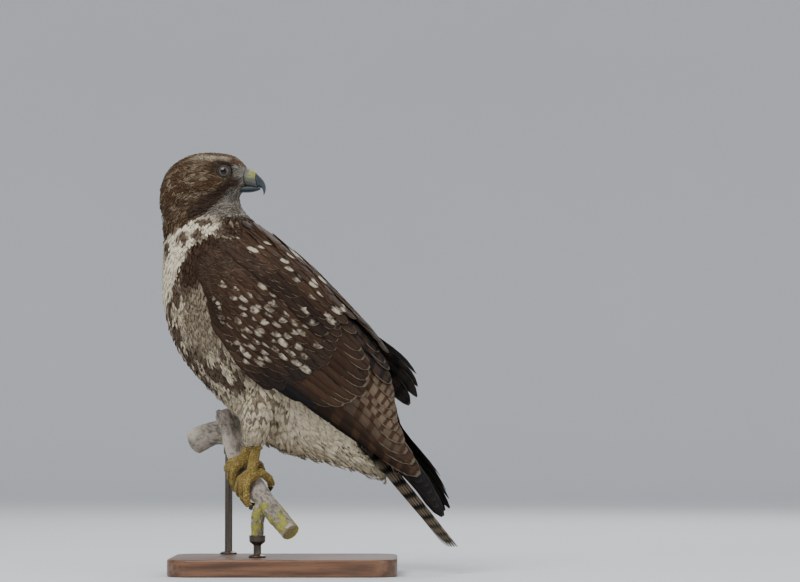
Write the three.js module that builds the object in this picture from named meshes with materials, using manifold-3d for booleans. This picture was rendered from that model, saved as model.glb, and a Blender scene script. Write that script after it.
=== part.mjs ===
// A red-tailed hawk in its first winter, life size, perched on a short length of branch that two rods hold
// over a wooden base. Millimetres, +Z up, origin at the centre of the base's underside. The breast faces -X,
// the tail points to +X and the left wing is on the -Y side. The head is turned back over the left shoulder.
import * as THREE from "three";
import { mergeVertices } from "three/addons/utils/BufferGeometryUtils.js";
import Module from "manifold-3d";

const wasm = await Module();
wasm.setup();

// Driving sizes
const SEAM = 0.4; // gap between nodes that touch
const LEFT = -1;
const RIGHT = 1;
const HEAD_AT = [-57, -10, 419]; // mid-plane of the head, level with the eyes
const HEAD_TURN = -18; // degrees from +X, towards the camera
const EYE_RADIUS = 8;
const CERE_END = 30.5; // ahead of the eyes, where the soft cere meets the horn of the bill
const TAIL_ROOT = [56, 160];
const TAIL_TIP = [174, 23];
const BRANCH_RADIUS = 11.5;
const FORK_END = 38;
const TOE_RADIUS = 4.3;
const TARSUS_RADIUS = 5.6;
const PAD_ANGLE = 30; // degrees that the sole sits forward of the branch's top
const BASE = { length: 236, depth: 170, height: 18, corner: 26, bevel: 2 };
const ROD_RADIUS = 4;

// Body sections from the throat to the end of the undertail coverts:
// [x and z on the breast side, x and z on the back, half width]
const TORSO = [
  [-120, 396, -52, 402, 28],
  [-130, 376, -46, 389, 34],
  [-128, 358, -44, 380, 38],
  [-128, 334, -24, 362, 49],
  [-130, 304, 0, 338, 58],
  [-128, 281, 20, 314, 62],
  [-123, 257, 41, 287, 64],
  [-112, 231, 58, 260, 62],
  [-94, 207, 72, 234, 57],
  [-71, 184, 85, 210, 51],
  [-47, 160, 96, 188, 43],
  [-16, 134, 105, 169, 36],
  [21, 124, 113, 153, 29],
  [58, 115, 120, 138, 24],
  [89, 105, 126, 125, 19],
  [117, 95, 131, 109, 14],
];
// Sections of the folded wings' outer surface, from the neck to past the wing tips, in the same form
const MANTLE = [
  [-128, 358, -44, 382, 38],
  [-128, 334, -24, 364, 52],
  [-130, 304, 2, 342, 66],
  [-128, 281, 26, 322, 74],
  [-123, 257, 49, 299, 77],
  [-112, 231, 70, 277, 76],
  [-94, 207, 89, 256, 73],
  [-63, 176, 107, 232, 67],
  [-24, 148, 119, 208, 59],
  [16, 129, 126, 184, 50],
  [52, 116, 133, 156, 42],
  [84, 104, 146, 134, 36],
  [116, 82, 163, 108, 31],
  [140, 55, 175, 79, 27],
  [154, 37, 184, 58, 24],
];
// Head sections from bill to nape: [distance ahead of the eyes, crown height, throat height, half width]
const HEAD = [
  [18, 425.5, 403, 10.2],
  [12, 431.5, 398.5, 15],
  [7, 435.8, 392.5, 19],
  [0, 439, 387, 24],
  [-10, 441, 382, 29],
  [-22, 442, 376, 33],
  [-34, 441.5, 371, 35],
  [-46, 439, 367, 35],
  [-58, 433, 364, 32],
  [-68, 425, 365, 25],
  [-75, 410, 377, 12],
];
// Bill sections: [ahead and height on the culmen, ahead and height on the cutting edge, half width]
const BILL = [
  [17, 424, 18, 405, 9],
  [22, 422.8, 22, 404.5, 8.4],
  [25.5, 421.5, 25, 404, 7.9],
  [29, 419, 28.5, 403.3, 7],
  [32.5, 416, 31.5, 403, 6],
  [35.5, 412.5, 33.8, 402.8, 4.9],
  [37.8, 408.8, 35.2, 402.2, 3.8],
  [39.2, 405, 36, 401.2, 2.9],
  [39.6, 401, 36.6, 399.6, 2],
  [38.8, 397.6, 36.9, 397.4, 1.2],
  [37.5, 394.4, 37.1, 394.8, 0.5],
];
const LOWER_BILL = [
  [8, 406, 8, 398.5, 8],
  [17, 406, 17, 398, 7.4],
  [24, 405.6, 24, 398.2, 6.2],
  [30, 404.6, 30, 399.4, 4.4],
  [33.4, 402.6, 33.4, 400.8, 1.8],
];
// Feathered upper leg: [x, z, distance from the mid-plane, half length fore and aft, half width]
const THIGH = [
  [6, 236, 22, 12, 8],
  [1, 219, 29, 25, 18],
  [-8, 200, 33, 29, 20.5],
  [-17, 180, 33, 26.5, 20],
  [-23, 161, 30, 21, 17.5],
  [-27, 146, 27, 16, 14],
  [-28, 135, 25, 10, 10],
];

// Shared tools

const vec = (x, y, z) => new THREE.Vector3(x, y, z);
const mix = THREE.MathUtils.lerp;
const radians = THREE.MathUtils.degToRad;
const ease = (value) => THREE.MathUtils.smoothstep(value, 0, 1);

// A smooth table: values at whole steps, joined by a spline through each column.
function table(rows) {
  const columns = rows[0].map(
    (_, column) =>
      new THREE.SplineCurve(rows.map((row, i) => new THREE.Vector2(i, row[column]))),
  );
  const last = rows.length - 1;
  return (t) => {
    const inside = THREE.MathUtils.clamp(t, 0, last);
    const step = Math.min(Math.floor(inside), last - 1);
    return columns.map((curve) => {
      const here = curve.getPoint(inside / last).y;
      const before = rows[step][columns.indexOf(curve)];
      const after = rows[step + 1][columns.indexOf(curve)];
      return here + (t - inside) * (after - before);
    });
  };
}

// A closed mesh as a solid for joining and cutting, faces pointing out.
function solidOf(geometry) {
  const bare = geometry.clone();
  bare.deleteAttribute("normal");
  bare.deleteAttribute("uv");
  const merged = mergeVertices(bare, 1e-3);
  const index = merged.index.array;
  const kept = [];
  for (let i = 0; i < index.length; i += 3) {
    const [a, b, c] = [index[i], index[i + 1], index[i + 2]];
    if (a !== b && b !== c && c !== a) kept.push(a, b, c);
  }
  const make = (triVerts) =>
    new wasm.Manifold(
      new wasm.Mesh({
        numProp: 3,
        vertProperties: new Float32Array(merged.attributes.position.array),
        triVerts: new Uint32Array(triVerts),
      }),
    );
  const made = make(kept);
  return made.volume() < 0 ? make(kept.reverse()) : made;
}

// The largest closed surface of a solid, without loose scraps or sealed hollows.
function largest(solid) {
  const bodies = solid.decompose();
  return bodies.reduce((best, body) => (body.volume() > best.volume() ? body : best));
}

const joined = (solids) => solids.reduce((all, one) => all.add(one));

// The two sides of a thin plane cut: [ahead of the normal, behind it].
function parted(solid, point, normal) {
  const n = normal.clone().normalize();
  const offset = point.dot(n);
  const ahead = solid.trimByPlane([n.x, n.y, n.z], offset + SEAM / 2);
  const behind = solid.trimByPlane([-n.x, -n.y, -n.z], -offset + SEAM / 2);
  return [ahead, behind];
}

// A cylinder whose rings are placed by a function of (length 0 to 1, angle, 0 at a cap's centre or 1).
function lofted(sides, steps, place) {
  const geometry = new THREE.CylinderGeometry(1, 1, 1, sides, steps);
  const at = geometry.getAttribute("position");
  for (let i = 0; i < at.count; i += 1) {
    const radial = Math.hypot(at.getX(i), at.getZ(i)) > 0.5 ? 1 : 0;
    const angle = Math.atan2(at.getX(i), at.getZ(i));
    const p = place(0.5 - at.getY(i), angle, radial);
    at.setXYZ(i, p.x, p.y, p.z);
  }
  return solidOf(geometry);
}

// A round tube along points, radius from a function of length 0 to 1.
function tube(points, radius, sides, steps) {
  const curve = new THREE.CatmullRomCurve3(points, false, "centripetal");
  const frames = curve.computeFrenetFrames(steps, false);
  return lofted(sides, steps, (s, angle, radial) => {
    const i = Math.round(s * steps);
    const r = radius(s) * radial;
    return curve
      .getPointAt(s)
      .addScaledVector(frames.normals[i], r * Math.cos(angle))
      .addScaledVector(frames.binormals[i], r * Math.sin(angle));
  });
}

function ellipsoid(centre, radii, turn = [0, 0, 0], sides = 12) {
  const geometry = new THREE.SphereGeometry(1, sides, Math.round(sides * 0.66));
  geometry.scale(...radii);
  geometry.applyMatrix4(
    new THREE.Matrix4().makeRotationFromEuler(new THREE.Euler(...turn.map(radians))),
  );
  geometry.translate(...centre);
  return solidOf(geometry);
}

// A thin closed plate over a grid, its two faces split into triangles alike.
function plate(across, along, face) {
  const positions = [];
  const index = [];
  const id = (side, i, j) => (side * (along + 1) + i) * (across + 1) + j;
  for (const side of [0, 1])
    for (let i = 0; i <= along; i += 1)
      for (let j = 0; j <= across; j += 1)
        positions.push(...face(i / along, j / across, side ? 1 : -1).toArray());
  for (let i = 0; i < along; i += 1)
    for (let j = 0; j < across; j += 1)
      for (const side of [0, 1]) {
        const corners = [id(side, i, j), id(side, i, j + 1), id(side, i + 1, j + 1), id(side, i + 1, j)];
        const [a, b, c, d] = side ? corners : corners;
        if (side) index.push(a, b, c, a, c, d);
        else index.push(a, c, b, a, d, c);
      }
  const rim = [];
  for (let j = 0; j < across; j += 1) rim.push([0, j, 0, j + 1], [along, j + 1, along, j]);
  for (let i = 0; i < along; i += 1) rim.push([i + 1, 0, i, 0], [i, across, i + 1, across]);
  for (const [i, j, m, n] of rim) {
    const [a, b, c, d] = [id(0, i, j), id(0, m, n), id(1, m, n), id(1, i, j)];
    index.push(a, b, c, a, c, d);
  }
  const geometry = new THREE.BufferGeometry();
  geometry.setAttribute("position", new THREE.Float32BufferAttribute(positions, 3));
  geometry.setIndex(index);
  return solidOf(geometry);
}

// Body surfaces: a point at section t and angle from the back (0) over the side (90) to the breast (180),
// lifted along the outward normal.
function surface(rows, fullness = 0.1) {
  const section = table(rows);
  return (t, angle, lift = 0, side = LEFT, radial = 1) => {
    const [bx, bz, dx, dz, width] = section(t);
    const half = vec((dx - bx) / 2, 0, (dz - bz) / 2);
    const c = Math.cos(angle);
    const s = Math.sin(angle);
    const out = vec(0, (side * s) / width, 0).addScaledVector(half, c / half.lengthSq());
    return vec((dx + bx) / 2, 0, (dz + bz) / 2)
      .addScaledVector(half, c * radial)
      .add(vec(0, side * width * s * (1 + fullness * c) * radial, 0))
      .addScaledVector(out.normalize(), lift * radial);
  };
}

const onTorso = surface(TORSO);
const onMantle = surface(MANTLE);

// Section and angle of the mantle where a side view shows the point (x, z).
const mantleSection = table(MANTLE);
function seenAt([x, z]) {
  let best = { gap: Infinity };
  const last = MANTLE.length - 1;
  for (let t = 0; t <= last; t += 0.02) {
    const [bx, bz, dx, dz] = mantleSection(t);
    const [ex, ez] = [dx - bx, dz - bz];
    const along = ((x - bx) * ex + (z - bz) * ez) / (ex * ex + ez * ez);
    const gap = Math.abs((x - bx) * ez - (z - bz) * ex) / Math.hypot(ex, ez);
    if (gap < best.gap && along > -0.05 && along < 1.05)
      best = { gap, t, angle: Math.acos(THREE.MathUtils.clamp(2 * along - 1, -1, 1)) };
  }
  return best;
}

// Head frame: ahead along the bill, left of the mid-plane, height above the floor
function inHead(ahead, left, height) {
  const turn = radians(HEAD_TURN);
  return vec(
    HEAD_AT[0] + ahead * Math.cos(turn) - left * Math.sin(turn),
    HEAD_AT[1] + ahead * Math.sin(turn) + left * Math.cos(turn),
    height,
  );
}

// Turns a solid made at the head frame's origin into place.
function placedInHead(solid) {
  return solid.rotate([0, 0, HEAD_TURN]).translate([HEAD_AT[0], HEAD_AT[1], 0]);
}

function torsoLoft(grow) {
  const last = TORSO.length - 1;
  return lofted(22, 17, (s, angle, radial) => onTorso(s * last, angle, grow, RIGHT, radial));
}

function headLoft(grow) {
  const section = table(HEAD);
  return lofted(20, 14, (s, angle, radial) => {
    const [ahead, top, low, width] = section(s * (HEAD.length - 1));
    const end = s === 0 ? grow : s === 1 ? -grow : 0;
    const up = ((top - low) / 2 + grow) * Math.cos(angle) * radial;
    const out = (width + grow) * Math.sin(angle) * radial;
    return inHead(ahead + end, out, (top + low) / 2 + up);
  });
}

function billLoft(rows, grow, sides, steps) {
  const section = table(rows);
  return lofted(sides, steps, (s, angle, radial) => {
    const [ca, ch, ea, eh, width] = section(s * (rows.length - 1));
    const reach = (1 + (2 * grow) / Math.hypot(ca - ea, ch - eh)) * Math.cos(angle) * radial;
    const out = (width + grow) * Math.sin(angle) * radial;
    return inHead((ca + ea) / 2 + ((ca - ea) / 2) * reach, out, (ch + eh) / 2 + ((ch - eh) / 2) * reach);
  });
}

// Head with brow ridges, eye sockets, lids and the line of the mouth
function headSolid(loft) {
  let head = loft;
  for (const side of [LEFT, RIGHT]) {
    const brow = ellipsoid([0, 0, 0], [15.5, 5.4, 4.6], [0, 0, 0], 10)
      .rotate([side * 18, 10, side * -28])
      .translate([1, side * 18.2, 426.4]);
    const hollow = ellipsoid([4, side * 26, 417], [13, 5, 7], [0, 0, side * -30], 10);
    const lid = solidOf(new THREE.TorusGeometry(6.6, 1.5, 5, 12))
      .rotate([90, 0, side * -24])
      .translate([1.6, side * 22.4, HEAD_AT[2]]);
    const socket = ellipsoid([0, side * 18, HEAD_AT[2]], Array(3).fill(EYE_RADIUS + SEAM));
    const mouth = solidOf(new THREE.BoxGeometry(15, 5, 0.9))
      .rotate([0, 3, side * -38])
      .translate([14, side * 10.4, 405.4]);
    head = head.subtract(placedInHead(hollow)).add(placedInHead(brow)).add(placedInHead(lid));
    head = head.subtract(placedInHead(socket)).subtract(placedInHead(mouth));
  }
  return head;
}

function eyeSolid(side) {
  return placedInHead(ellipsoid([0, side * 18, HEAD_AT[2]], [EYE_RADIUS, EYE_RADIUS, EYE_RADIUS]));
}

// Feathers

// Share of a vane's full width at a share of its length: narrow root, long parallel middle, round tip
function vaneWidth(a) {
  const root = mix(0.45, 1, ease(a / 0.3));
  const tip = a < 0.8 ? 1 : Math.sqrt(Math.max(0.03, 1 - ((a - 0.8) / 0.205) ** 2));
  return root * tip;
}

// Spreads the steps of a vane so that they crowd towards its round tip.
const crowded = (u) => Math.sin((u * Math.PI) / 2) * 0.55 + u * 0.45;

// A vane lying on the mantle from root to tip, [t, angle] each. It leans so that its lower edge lies over
// the next vane and its upper edge under the one before.
function mantleVane(root, tip, form) {
  const { width, height, sunk, rise, lean, side, steps } = form;
  const nudge = 0.01;
  return plate(2, steps, (u, v, face) => {
    const a = crowded(u);
    const across = 1 - 2 * v;
    const half = (width / 2) * vaneWidth(a);
    const t = mix(root.t, tip.t, a);
    const clearOfMiddle = (half + 1.5) / mantleSection(t)[4];
    const angle = Math.max(mix(root.angle, tip.angle, a), clearOfMiddle);
    const lift = height(t) - sunk + rise * ease(a) ** 2;
    const onT = onMantle(t + nudge, angle, lift, side).sub(onMantle(t - nudge, angle, lift, side));
    onT.divideScalar(2 * nudge);
    const onAngle = onMantle(t, angle + nudge, lift, side).sub(onMantle(t, angle - nudge, lift, side));
    onAngle.divideScalar(2 * nudge);
    const along = onT
      .clone()
      .multiplyScalar(tip.t - root.t)
      .addScaledVector(onAngle, tip.angle - root.angle)
      .normalize();
    const sideways = onT.clone().cross(onAngle).normalize().cross(along);
    if (sideways.dot(onAngle) > 0) sideways.negate();
    const [tt, ta, aa] = [onT.dot(onT), onT.dot(onAngle), onAngle.dot(onAngle)];
    const [st, sa] = [onT.dot(sideways), onAngle.dot(sideways)];
    const det = tt * aa - ta * ta;
    const reach = half * across;
    const dt = ((st * aa - sa * ta) / det) * reach;
    const da = ((sa * tt - st * ta) / det) * reach;
    const thick = face * mix(0.27, 0.38, 1 - Math.abs(across));
    return onMantle(t + dt, angle + da, lift - lean * reach + thick, side);
  });
}

// Height of a tier over the mantle: deep at the root, rising between two sections where it comes free
const rising = (deep, top, from, to) => (t) => mix(deep, top, ease((t - from) / (to - from)));

// Tiers of a folded wing. Roots and tips run along bent lines in the side view, from the lowest vane
// to the highest: start, middle, end.
const TIERS = [
  {
    name: "primaries",
    count: 6,
    roots: [[10, 192], [28, 203], [44, 213]],
    tips: [[168, 64], [153, 88], [133, 116]],
    width: 19,
    height: rising(-9.3, -2, 10, 14),
    stack: 0.85,
    lean: 0.04,
    steps: 5,
  },
  {
    name: "secondaries",
    count: 7,
    roots: [[-4, 214], [20, 238], [40, 266]],
    tips: [[143, 104], [123, 146], [116, 186]],
    width: 25,
    height: rising(-4.6, -2, 7.5, 10.5),
    stack: 0.55,
    lean: 0.09,
    steps: 5,
  },
  {
    name: "tertials",
    count: 3,
    roots: [[36, 272], [42, 282], [46, 292]],
    tips: [[114, 203], [110, 217], [102, 233]],
    width: 26,
    height: rising(-3.4, -1.5, 6.5, 9),
    stack: 0,
    lean: 0.12,
    steps: 4,
  },
  {
    name: "greater_coverts",
    count: 6,
    roots: [[-26, 228], [-6, 258], [14, 298]],
    tips: [[24, 184], [84, 188], [70, 252]],
    width: 27,
    height: rising(-2, -0.5, 5, 8),
    stack: 0,
    lean: 0.1,
    steps: 4,
  },
  {
    name: "lower_scapulars",
    count: 4,
    roots: [[-34, 296], [-20, 310], [-4, 320]],
    tips: [[38, 258], [58, 262], [72, 272]],
    width: 25,
    height: rising(-0.5, 1.5, 3, 5.5),
    stack: 0,
    lean: 0.12,
    steps: 4,
  },
  {
    name: "upper_scapulars",
    count: 4,
    roots: [[-56, 326], [-42, 336], [-26, 346]],
    tips: [[0, 286], [20, 294], [34, 304]],
    width: 24,
    height: rising(-1, 3.2, 1.8, 4),
    stack: 0,
    lean: 0.12,
    steps: 4,
  },
];

// The far wing is carried loosely: its tertials and primaries stand off the back
const LOOSE = {
  tertials: { tips: [[121, 170], [125, 183], [121, 202]], rise: 20 },
  primaries: { tips: [[170, 66], [172, 84], [160, 111]], rise: 3 },
};

function alongBend([start, middle, end], u) {
  const bend = (i) => 2 * u * (1 - u) * (2 * middle[i] - start[i] - end[i]);
  return [mix(start[0], end[0], u) + bend(0), mix(start[1], end[1], u) + bend(1)];
}

function tierVanes(tier, side) {
  const loose = side === RIGHT ? LOOSE[tier.name] : undefined;
  return Array.from({ length: tier.count }, (_, i) => {
    const u = i / (tier.count - 1);
    const root = seenAt(alongBend(tier.roots, u));
    const tip = seenAt(alongBend(loose?.tips ?? tier.tips, u));
    const reach = 1 + 0.02 * (THREE.MathUtils.seededRandom(tier.count * 31 + i * 7) - 0.5);
    tip.t = mix(root.t, tip.t, reach);
    const sunk = tier.stack * (tier.count - 1 - i);
    return mantleVane(root, tip, { ...tier, sunk, side, rise: (loose?.rise ?? 0) * ease(0.4 + u) });
  });
}

// The arm of the folded wing under its small coverts, a low mound that the vanes grow from
const ARM = { front: 1.5, rear: 9, top: 14, bottomFront: 122, bottomRear: 103 };
function armSolid(side) {
  return plate(6, 8, (u, v, face) => {
    const t = mix(ARM.front + 0.9 * (2 * v - 1) ** 2, ARM.rear - 2.6 * v, u);
    const angle = radians(mix(mix(ARM.bottomFront, ARM.bottomRear, ease(u * 1.6)), ARM.top, v));
    const rim = Math.min(1, 4.5 * Math.min(v, 1 - v)) * Math.min(1, u * 4);
    const full = mix(-12, 0.6, Math.sin((rim * Math.PI) / 2));
    const lift = face > 0 ? Math.max(full - 15.5 * ease((t - 4.8) / 4.4), -17) : -26;
    return onMantle(t, angle, lift, side);
  });
}

function wingSolid(side, clearance) {
  const vanes = TIERS.flatMap((tier) => tierVanes(tier, side));
  return largest(joined([armSolid(side), ...vanes]).subtract(clearance));
}

// Tail: twelve vanes on a low roof, the middle pair on top
const TAIL_PAIRS = 6;
const TAIL_SPREAD = 94;
const TAIL_FORM = { height: [16, 9], width: [21, 31], drop: 1, half: 17, pitch: 11 };
const tailAlong = vec(TAIL_TIP[0] - TAIL_ROOT[0], 0, TAIL_TIP[1] - TAIL_ROOT[1]).normalize();
const tailUp = vec(-tailAlong.z, 0, tailAlong.x);
function onTail(a, angle, lift) {
  const [x, z] = [mix(TAIL_ROOT[0], TAIL_TIP[0], a), mix(TAIL_ROOT[1], TAIL_TIP[1], a)];
  const high = mix(...TAIL_FORM.height, a) + lift;
  const wide = mix(...TAIL_FORM.width, ease(a / 0.45)) + lift;
  return vec(x, wide * Math.sin(angle), z).addScaledVector(tailUp, high * Math.cos(angle));
}

function tailVane(i, side) {
  const order = 2 * i + (side === RIGHT ? 1 : 0);
  const middle = radians(TAIL_FORM.pitch * (i + 0.55)) * side;
  const reach = 1 - 0.01 * i - (i === TAIL_PAIRS - 1 ? 0.012 : 0);
  return plate(2, 5, (u, v, face) => {
    const a = mix(0.2, reach, crowded(u));
    const half = TAIL_FORM.half * vaneWidth(mix(0.2, 1, u)) * mix(0.7, 1, ease(a * 1.6));
    const across = 2 * v - 1;
    const angle = middle * mix(0.75, 1, a) + (across * half) / TAIL_FORM.width[1];
    const thick = face * mix(0.27, 0.37, 1 - Math.abs(across));
    return onTail(a, angle, -order * TAIL_FORM.drop + thick);
  });
}

// The closed root of the tail, a curved slab that the vanes grow from; grown and longer it cuts their slot
const TAIL_SLAB = { start: 0.12, step: 0.0933 };
function tailRoot(grow, steps) {
  const deep = -2 * TAIL_PAIRS * TAIL_FORM.drop - 0.6;
  return plate(10, steps, (u, v, face) => {
    const angle = radians(mix(-TAIL_SPREAD, TAIL_SPREAD, v));
    const a = TAIL_SLAB.start + u * steps * TAIL_SLAB.step - (u === 0 ? grow / 150 : 0);
    const under = (v === 0 || v === 1 ? 0.6 + grow : 0) + (face < 0 ? grow : 0);
    return onTail(a, angle, face > 0 ? 1.2 + grow : deep - grow).addScaledVector(tailUp, -under);
  });
}

function tailSolid() {
  const order = Array.from({ length: TAIL_PAIRS }, (_, i) => i);
  const vanes = order.flatMap((i) => [tailVane(i, LEFT), tailVane(i, RIGHT)]);
  return largest(joined([tailRoot(0, 3), ...vanes]));
}

// Legs and feet

function thighSolid(side, grow) {
  const section = table(THIGH);
  const last = THIGH.length - 1;
  return lofted(14, 9, (s, angle, radial) => {
    const [x, z, y, long, wide] = section(s * last);
    const end = s === 0 ? grow : s === 1 ? -grow : 0;
    const c = (long + grow) * Math.cos(angle) * radial;
    const w = (wide + grow) * Math.sin(angle) * radial;
    return vec(x + c, side * y + w, z + end + c * 0.28);
  });
}

const BRANCH_LINE = [
  [-65, 68, 168],
  [-55, 51, 134],
  [-42, 29, 104],
  [-28, -11, 87],
  [-11, -36, 67],
  [9, -57, 45],
];
const branchCurve = new THREE.CatmullRomCurve3(BRANCH_LINE.map((p) => vec(...p)), false, "centripetal");
function branchRadius(s, grow) {
  const taper = mix(13, 10, s);
  const lumps = 0.8 * Math.sin(9 * s + 1) * Math.sin(23 * s);
  const free = Math.min(1, 30 * (s - 0.5) ** 2);
  return mix(BRANCH_RADIUS, taper + lumps, free) + grow;
}

function branchSolid(grow) {
  const trunk = tube(branchCurve.points, (s) => branchRadius(s, grow), 12, 15);
  const limb = tube(
    [vec(-58, 58, 146), vec(-80, 76, 147), vec(-100, 88, 138)],
    (s) => mix(12, 14.5, s) + grow,
    12,
    4,
  );
  const fork = tube(
    [vec(-19, -24, 77), vec(-26, -27, 62), vec(-27, -28, FORK_END)],
    (s) => mix(8.5, 6.8, s) + grow,
    10,
    5,
  );
  const knob = tube([vec(-66, 66, 160), vec(-75, 70, 171)], (s) => mix(5, 3.4, s) + grow, 8, 2);
  return joined([trunk, limb, fork, knob]);
}

// Where a foot grips: centre of the branch there, its direction, its upper side and the side the toes go to
function gripAt(share) {
  const centre = branchCurve.getPointAt(share);
  const along = branchCurve.getTangentAt(share);
  const up = vec(0, 0, 1).addScaledVector(along, -along.z).normalize();
  return { centre, along, up, front: along.clone().cross(up) };
}

function around(grip, degrees, distance, slide) {
  const angle = radians(degrees);
  return grip.centre
    .clone()
    .addScaledVector(grip.up, distance * Math.cos(angle))
    .addScaledVector(grip.front, distance * Math.sin(angle))
    .addScaledVector(grip.along, slide);
}

// Each toe: how far round the branch it ends in degrees, its shift along it at root and end (outwards from
// the body), its claw's reach in degrees and its thickness
const TOES = [
  { name: "inner", to: 138, slide: [-3.5, -13], claw: 58, thick: 1.05 },
  { name: "middle", to: 152, slide: [0, 5], claw: 48, thick: 1 },
  { name: "outer", to: 128, slide: [3.5, 20], claw: 46, thick: 0.92 },
  { name: "hind", to: -78, slide: [0, -2], claw: -64, thick: 1.1 },
];
const FEET = [
  { name: "left", side: LEFT, share: 0.622, ankle: [-26, -26, 146] },
  { name: "right", side: RIGHT, share: 0.4, ankle: [-31, 25, 146] },
];

function toePath(grip, toe, outward) {
  const r = TOE_RADIUS * toe.thick;
  return [0.04, 0.28, 0.52, 0.76, 1].map((u) => {
    const arch = u < 0.3 ? 3.6 : 1;
    const slide = outward * mix(...toe.slide, u);
    return around(grip, mix(PAD_ANGLE, toe.to, u), BRANCH_RADIUS + r + arch, slide);
  });
}

function toeSolid(grip, toe, outward) {
  const thick = (s) => TOE_RADIUS * toe.thick * mix(1.08, 0.9, s) * (1 + 0.1 * Math.cos(6 * Math.PI * s));
  return tube(toePath(grip, toe, outward), thick, 7, 7);
}

function clawSolid(grip, toe, outward) {
  const thick = (u) => mix(3.3 * toe.thick, 0.4, u ** 0.8);
  const points = [0, 0.25, 0.5, 0.75, 1].map((u) => {
    const lift = BRANCH_RADIUS + thick(u) + mix(1.6, 0.9, u);
    const slide = outward * (toe.slide[1] + (toe.slide[1] - toe.slide[0]) * 0.12 * u);
    return around(grip, toe.to + toe.claw * u, lift, slide);
  });
  return tube(points, thick, 6, 5);
}

// A foot in its nodes: tarsus, toes with their pad, and four claws
function footSolids(foot, branch) {
  const grip = gripAt(foot.share);
  const outward = -foot.side;
  const instep = around(grip, PAD_ANGLE, BRANCH_RADIUS + 7, 0);
  const ankle = vec(...foot.ankle);
  const shin = tube([ankle, instep.clone().lerp(ankle, 0.5), instep], () => TARSUS_RADIUS, 10, 3);
  const pad = ellipsoid(instep.toArray(), [8.4, 8.4, 7]);
  const toes = TOES.map((toe) => toeSolid(grip, toe, outward));
  const whole = joined([shin, pad, ...toes]).subtract(branch);
  const cut = instep.clone().lerp(ankle, 0.36);
  const [tarsus, lower] = parted(whole, cut, ankle.clone().sub(instep));
  const claws = {};
  let sole = lower;
  for (const toe of TOES) {
    const path = toePath(grip, toe, outward);
    const end = path[path.length - 1];
    const out = end.clone().sub(path[path.length - 2]).normalize();
    const plane = end.clone().addScaledVector(out, -0.8);
    const claw = clawSolid(grip, toe, outward).subtract(branch);
    claws[toe.name] = largest(claw.trimByPlane(out.toArray(), plane.dot(out) + SEAM / 2));
    const past = new THREE.BoxGeometry(18, 18, 12);
    past.translate(0, 0, 6);
    past.applyQuaternion(new THREE.Quaternion().setFromUnitVectors(vec(0, 0, 1), out));
    past.translate(...plane.addScaledVector(out, -SEAM / 2).toArray());
    sole = sole.subtract(solidOf(past));
  }
  return { tarsus, toes: largest(sole), claws };
}

// Stand

function baseSolid() {
  const { length, depth, height, corner, bevel } = BASE;
  const [hx, hy] = [length / 2 - bevel, depth / 2 - bevel];
  const shape = new THREE.Shape();
  shape.moveTo(-hx + corner, -hy);
  shape.lineTo(hx - corner, -hy);
  shape.absarc(hx - corner, -hy + corner, corner, -Math.PI / 2, 0, false);
  shape.absarc(hx - corner, hy - corner, corner, 0, Math.PI / 2, false);
  shape.absarc(-hx + corner, hy - corner, corner, Math.PI / 2, Math.PI, false);
  shape.absarc(-hx + corner, -hy + corner, corner, Math.PI, 1.5 * Math.PI, false);
  const geometry = new THREE.ExtrudeGeometry(shape, {
    depth: height - 2 * bevel,
    bevelEnabled: true,
    bevelThickness: bevel,
    bevelSize: bevel,
    bevelSegments: 1,
    curveSegments: 5,
  });
  geometry.translate(0, 0, bevel);
  return solidOf(geometry);
}

const RODS = [
  { name: "stand_rod_front", x: -27, y: -28, top: FORK_END - 2 * SEAM },
  { name: "stand_rod_back", x: -62, y: 60, top: 146 },
];
function rodSolid(rod, branch) {
  const low = BASE.height + SEAM;
  const geometry = new THREE.CylinderGeometry(ROD_RADIUS, ROD_RADIUS, rod.top - low, 16, 1);
  geometry.rotateX(Math.PI / 2);
  geometry.translate(rod.x, rod.y, (rod.top + low) / 2);
  return largest(solidOf(geometry).subtract(branch));
}

// Assembly

const COLOURS = {
  plumage: [0x5a4433, 0.85],
  pale: [0xcfc4b2, 0.85],
  wing: [0x4a382b, 0.8],
  tail: [0x7a6552, 0.8],
  horn: [0x22262a, 0.3],
  cere: [0xb2ad4c, 0.5],
  eye: [0x8c8170, 0.1],
  foot: [0xb9953a, 0.55],
  bark: [0x8b8176, 0.9],
  wood: [0x6b4630, 0.45],
  rod: [0x55524c, 0.35],
};

const hawk = new THREE.Group();

function addNode(name, solid, colour) {
  const mesh = solid.getMesh();
  const points = new Float32Array(mesh.numVert * 3);
  for (let i = 0; i < mesh.numVert; i += 1)
    points.set(mesh.vertProperties.subarray(i * mesh.numProp, i * mesh.numProp + 3), i * 3);
  const geometry = new THREE.BufferGeometry();
  geometry.setAttribute("position", new THREE.BufferAttribute(points, 3));
  geometry.setIndex(new THREE.BufferAttribute(new Uint32Array(mesh.triVerts), 1));
  geometry.computeVertexNormals();
  const [color, roughness] = COLOURS[colour];
  const node = new THREE.Mesh(
    geometry,
    new THREE.MeshStandardMaterial({ color, roughness, metalness: colour === "rod" ? 0.8 : 0 }),
  );
  node.name = name;
  hawk.add(node);
}

const branchClear = branchSolid(SEAM);
const headClear = headLoft(SEAM);
const torsoClear = joined([torsoLoft(SEAM), headClear]);
const tailSlot = tailRoot(SEAM, 10);
const bothSides = Object.entries({ left: LEFT, right: RIGHT });

// Head, neck and torso are one form, parted by thin cuts
const trunk = headSolid(headLoft(0)).add(torsoLoft(0)).subtract(tailSlot);
const [headPart, belowHead] = parted(trunk, vec(-90, 0, 380), vec(-0.109, 0, 0.994));
const [neckPart, torsoPart] = parted(belowHead, vec(-78, 0, 351), vec(-0.279, 0, 0.96));
addNode("head", largest(headPart), "plumage");
addNode("neck", largest(neckPart), "plumage");
addNode("torso", largest(torsoPart), "pale");
for (const [name, side] of bothSides) addNode("eye_" + name, eyeSolid(side), "eye");

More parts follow.
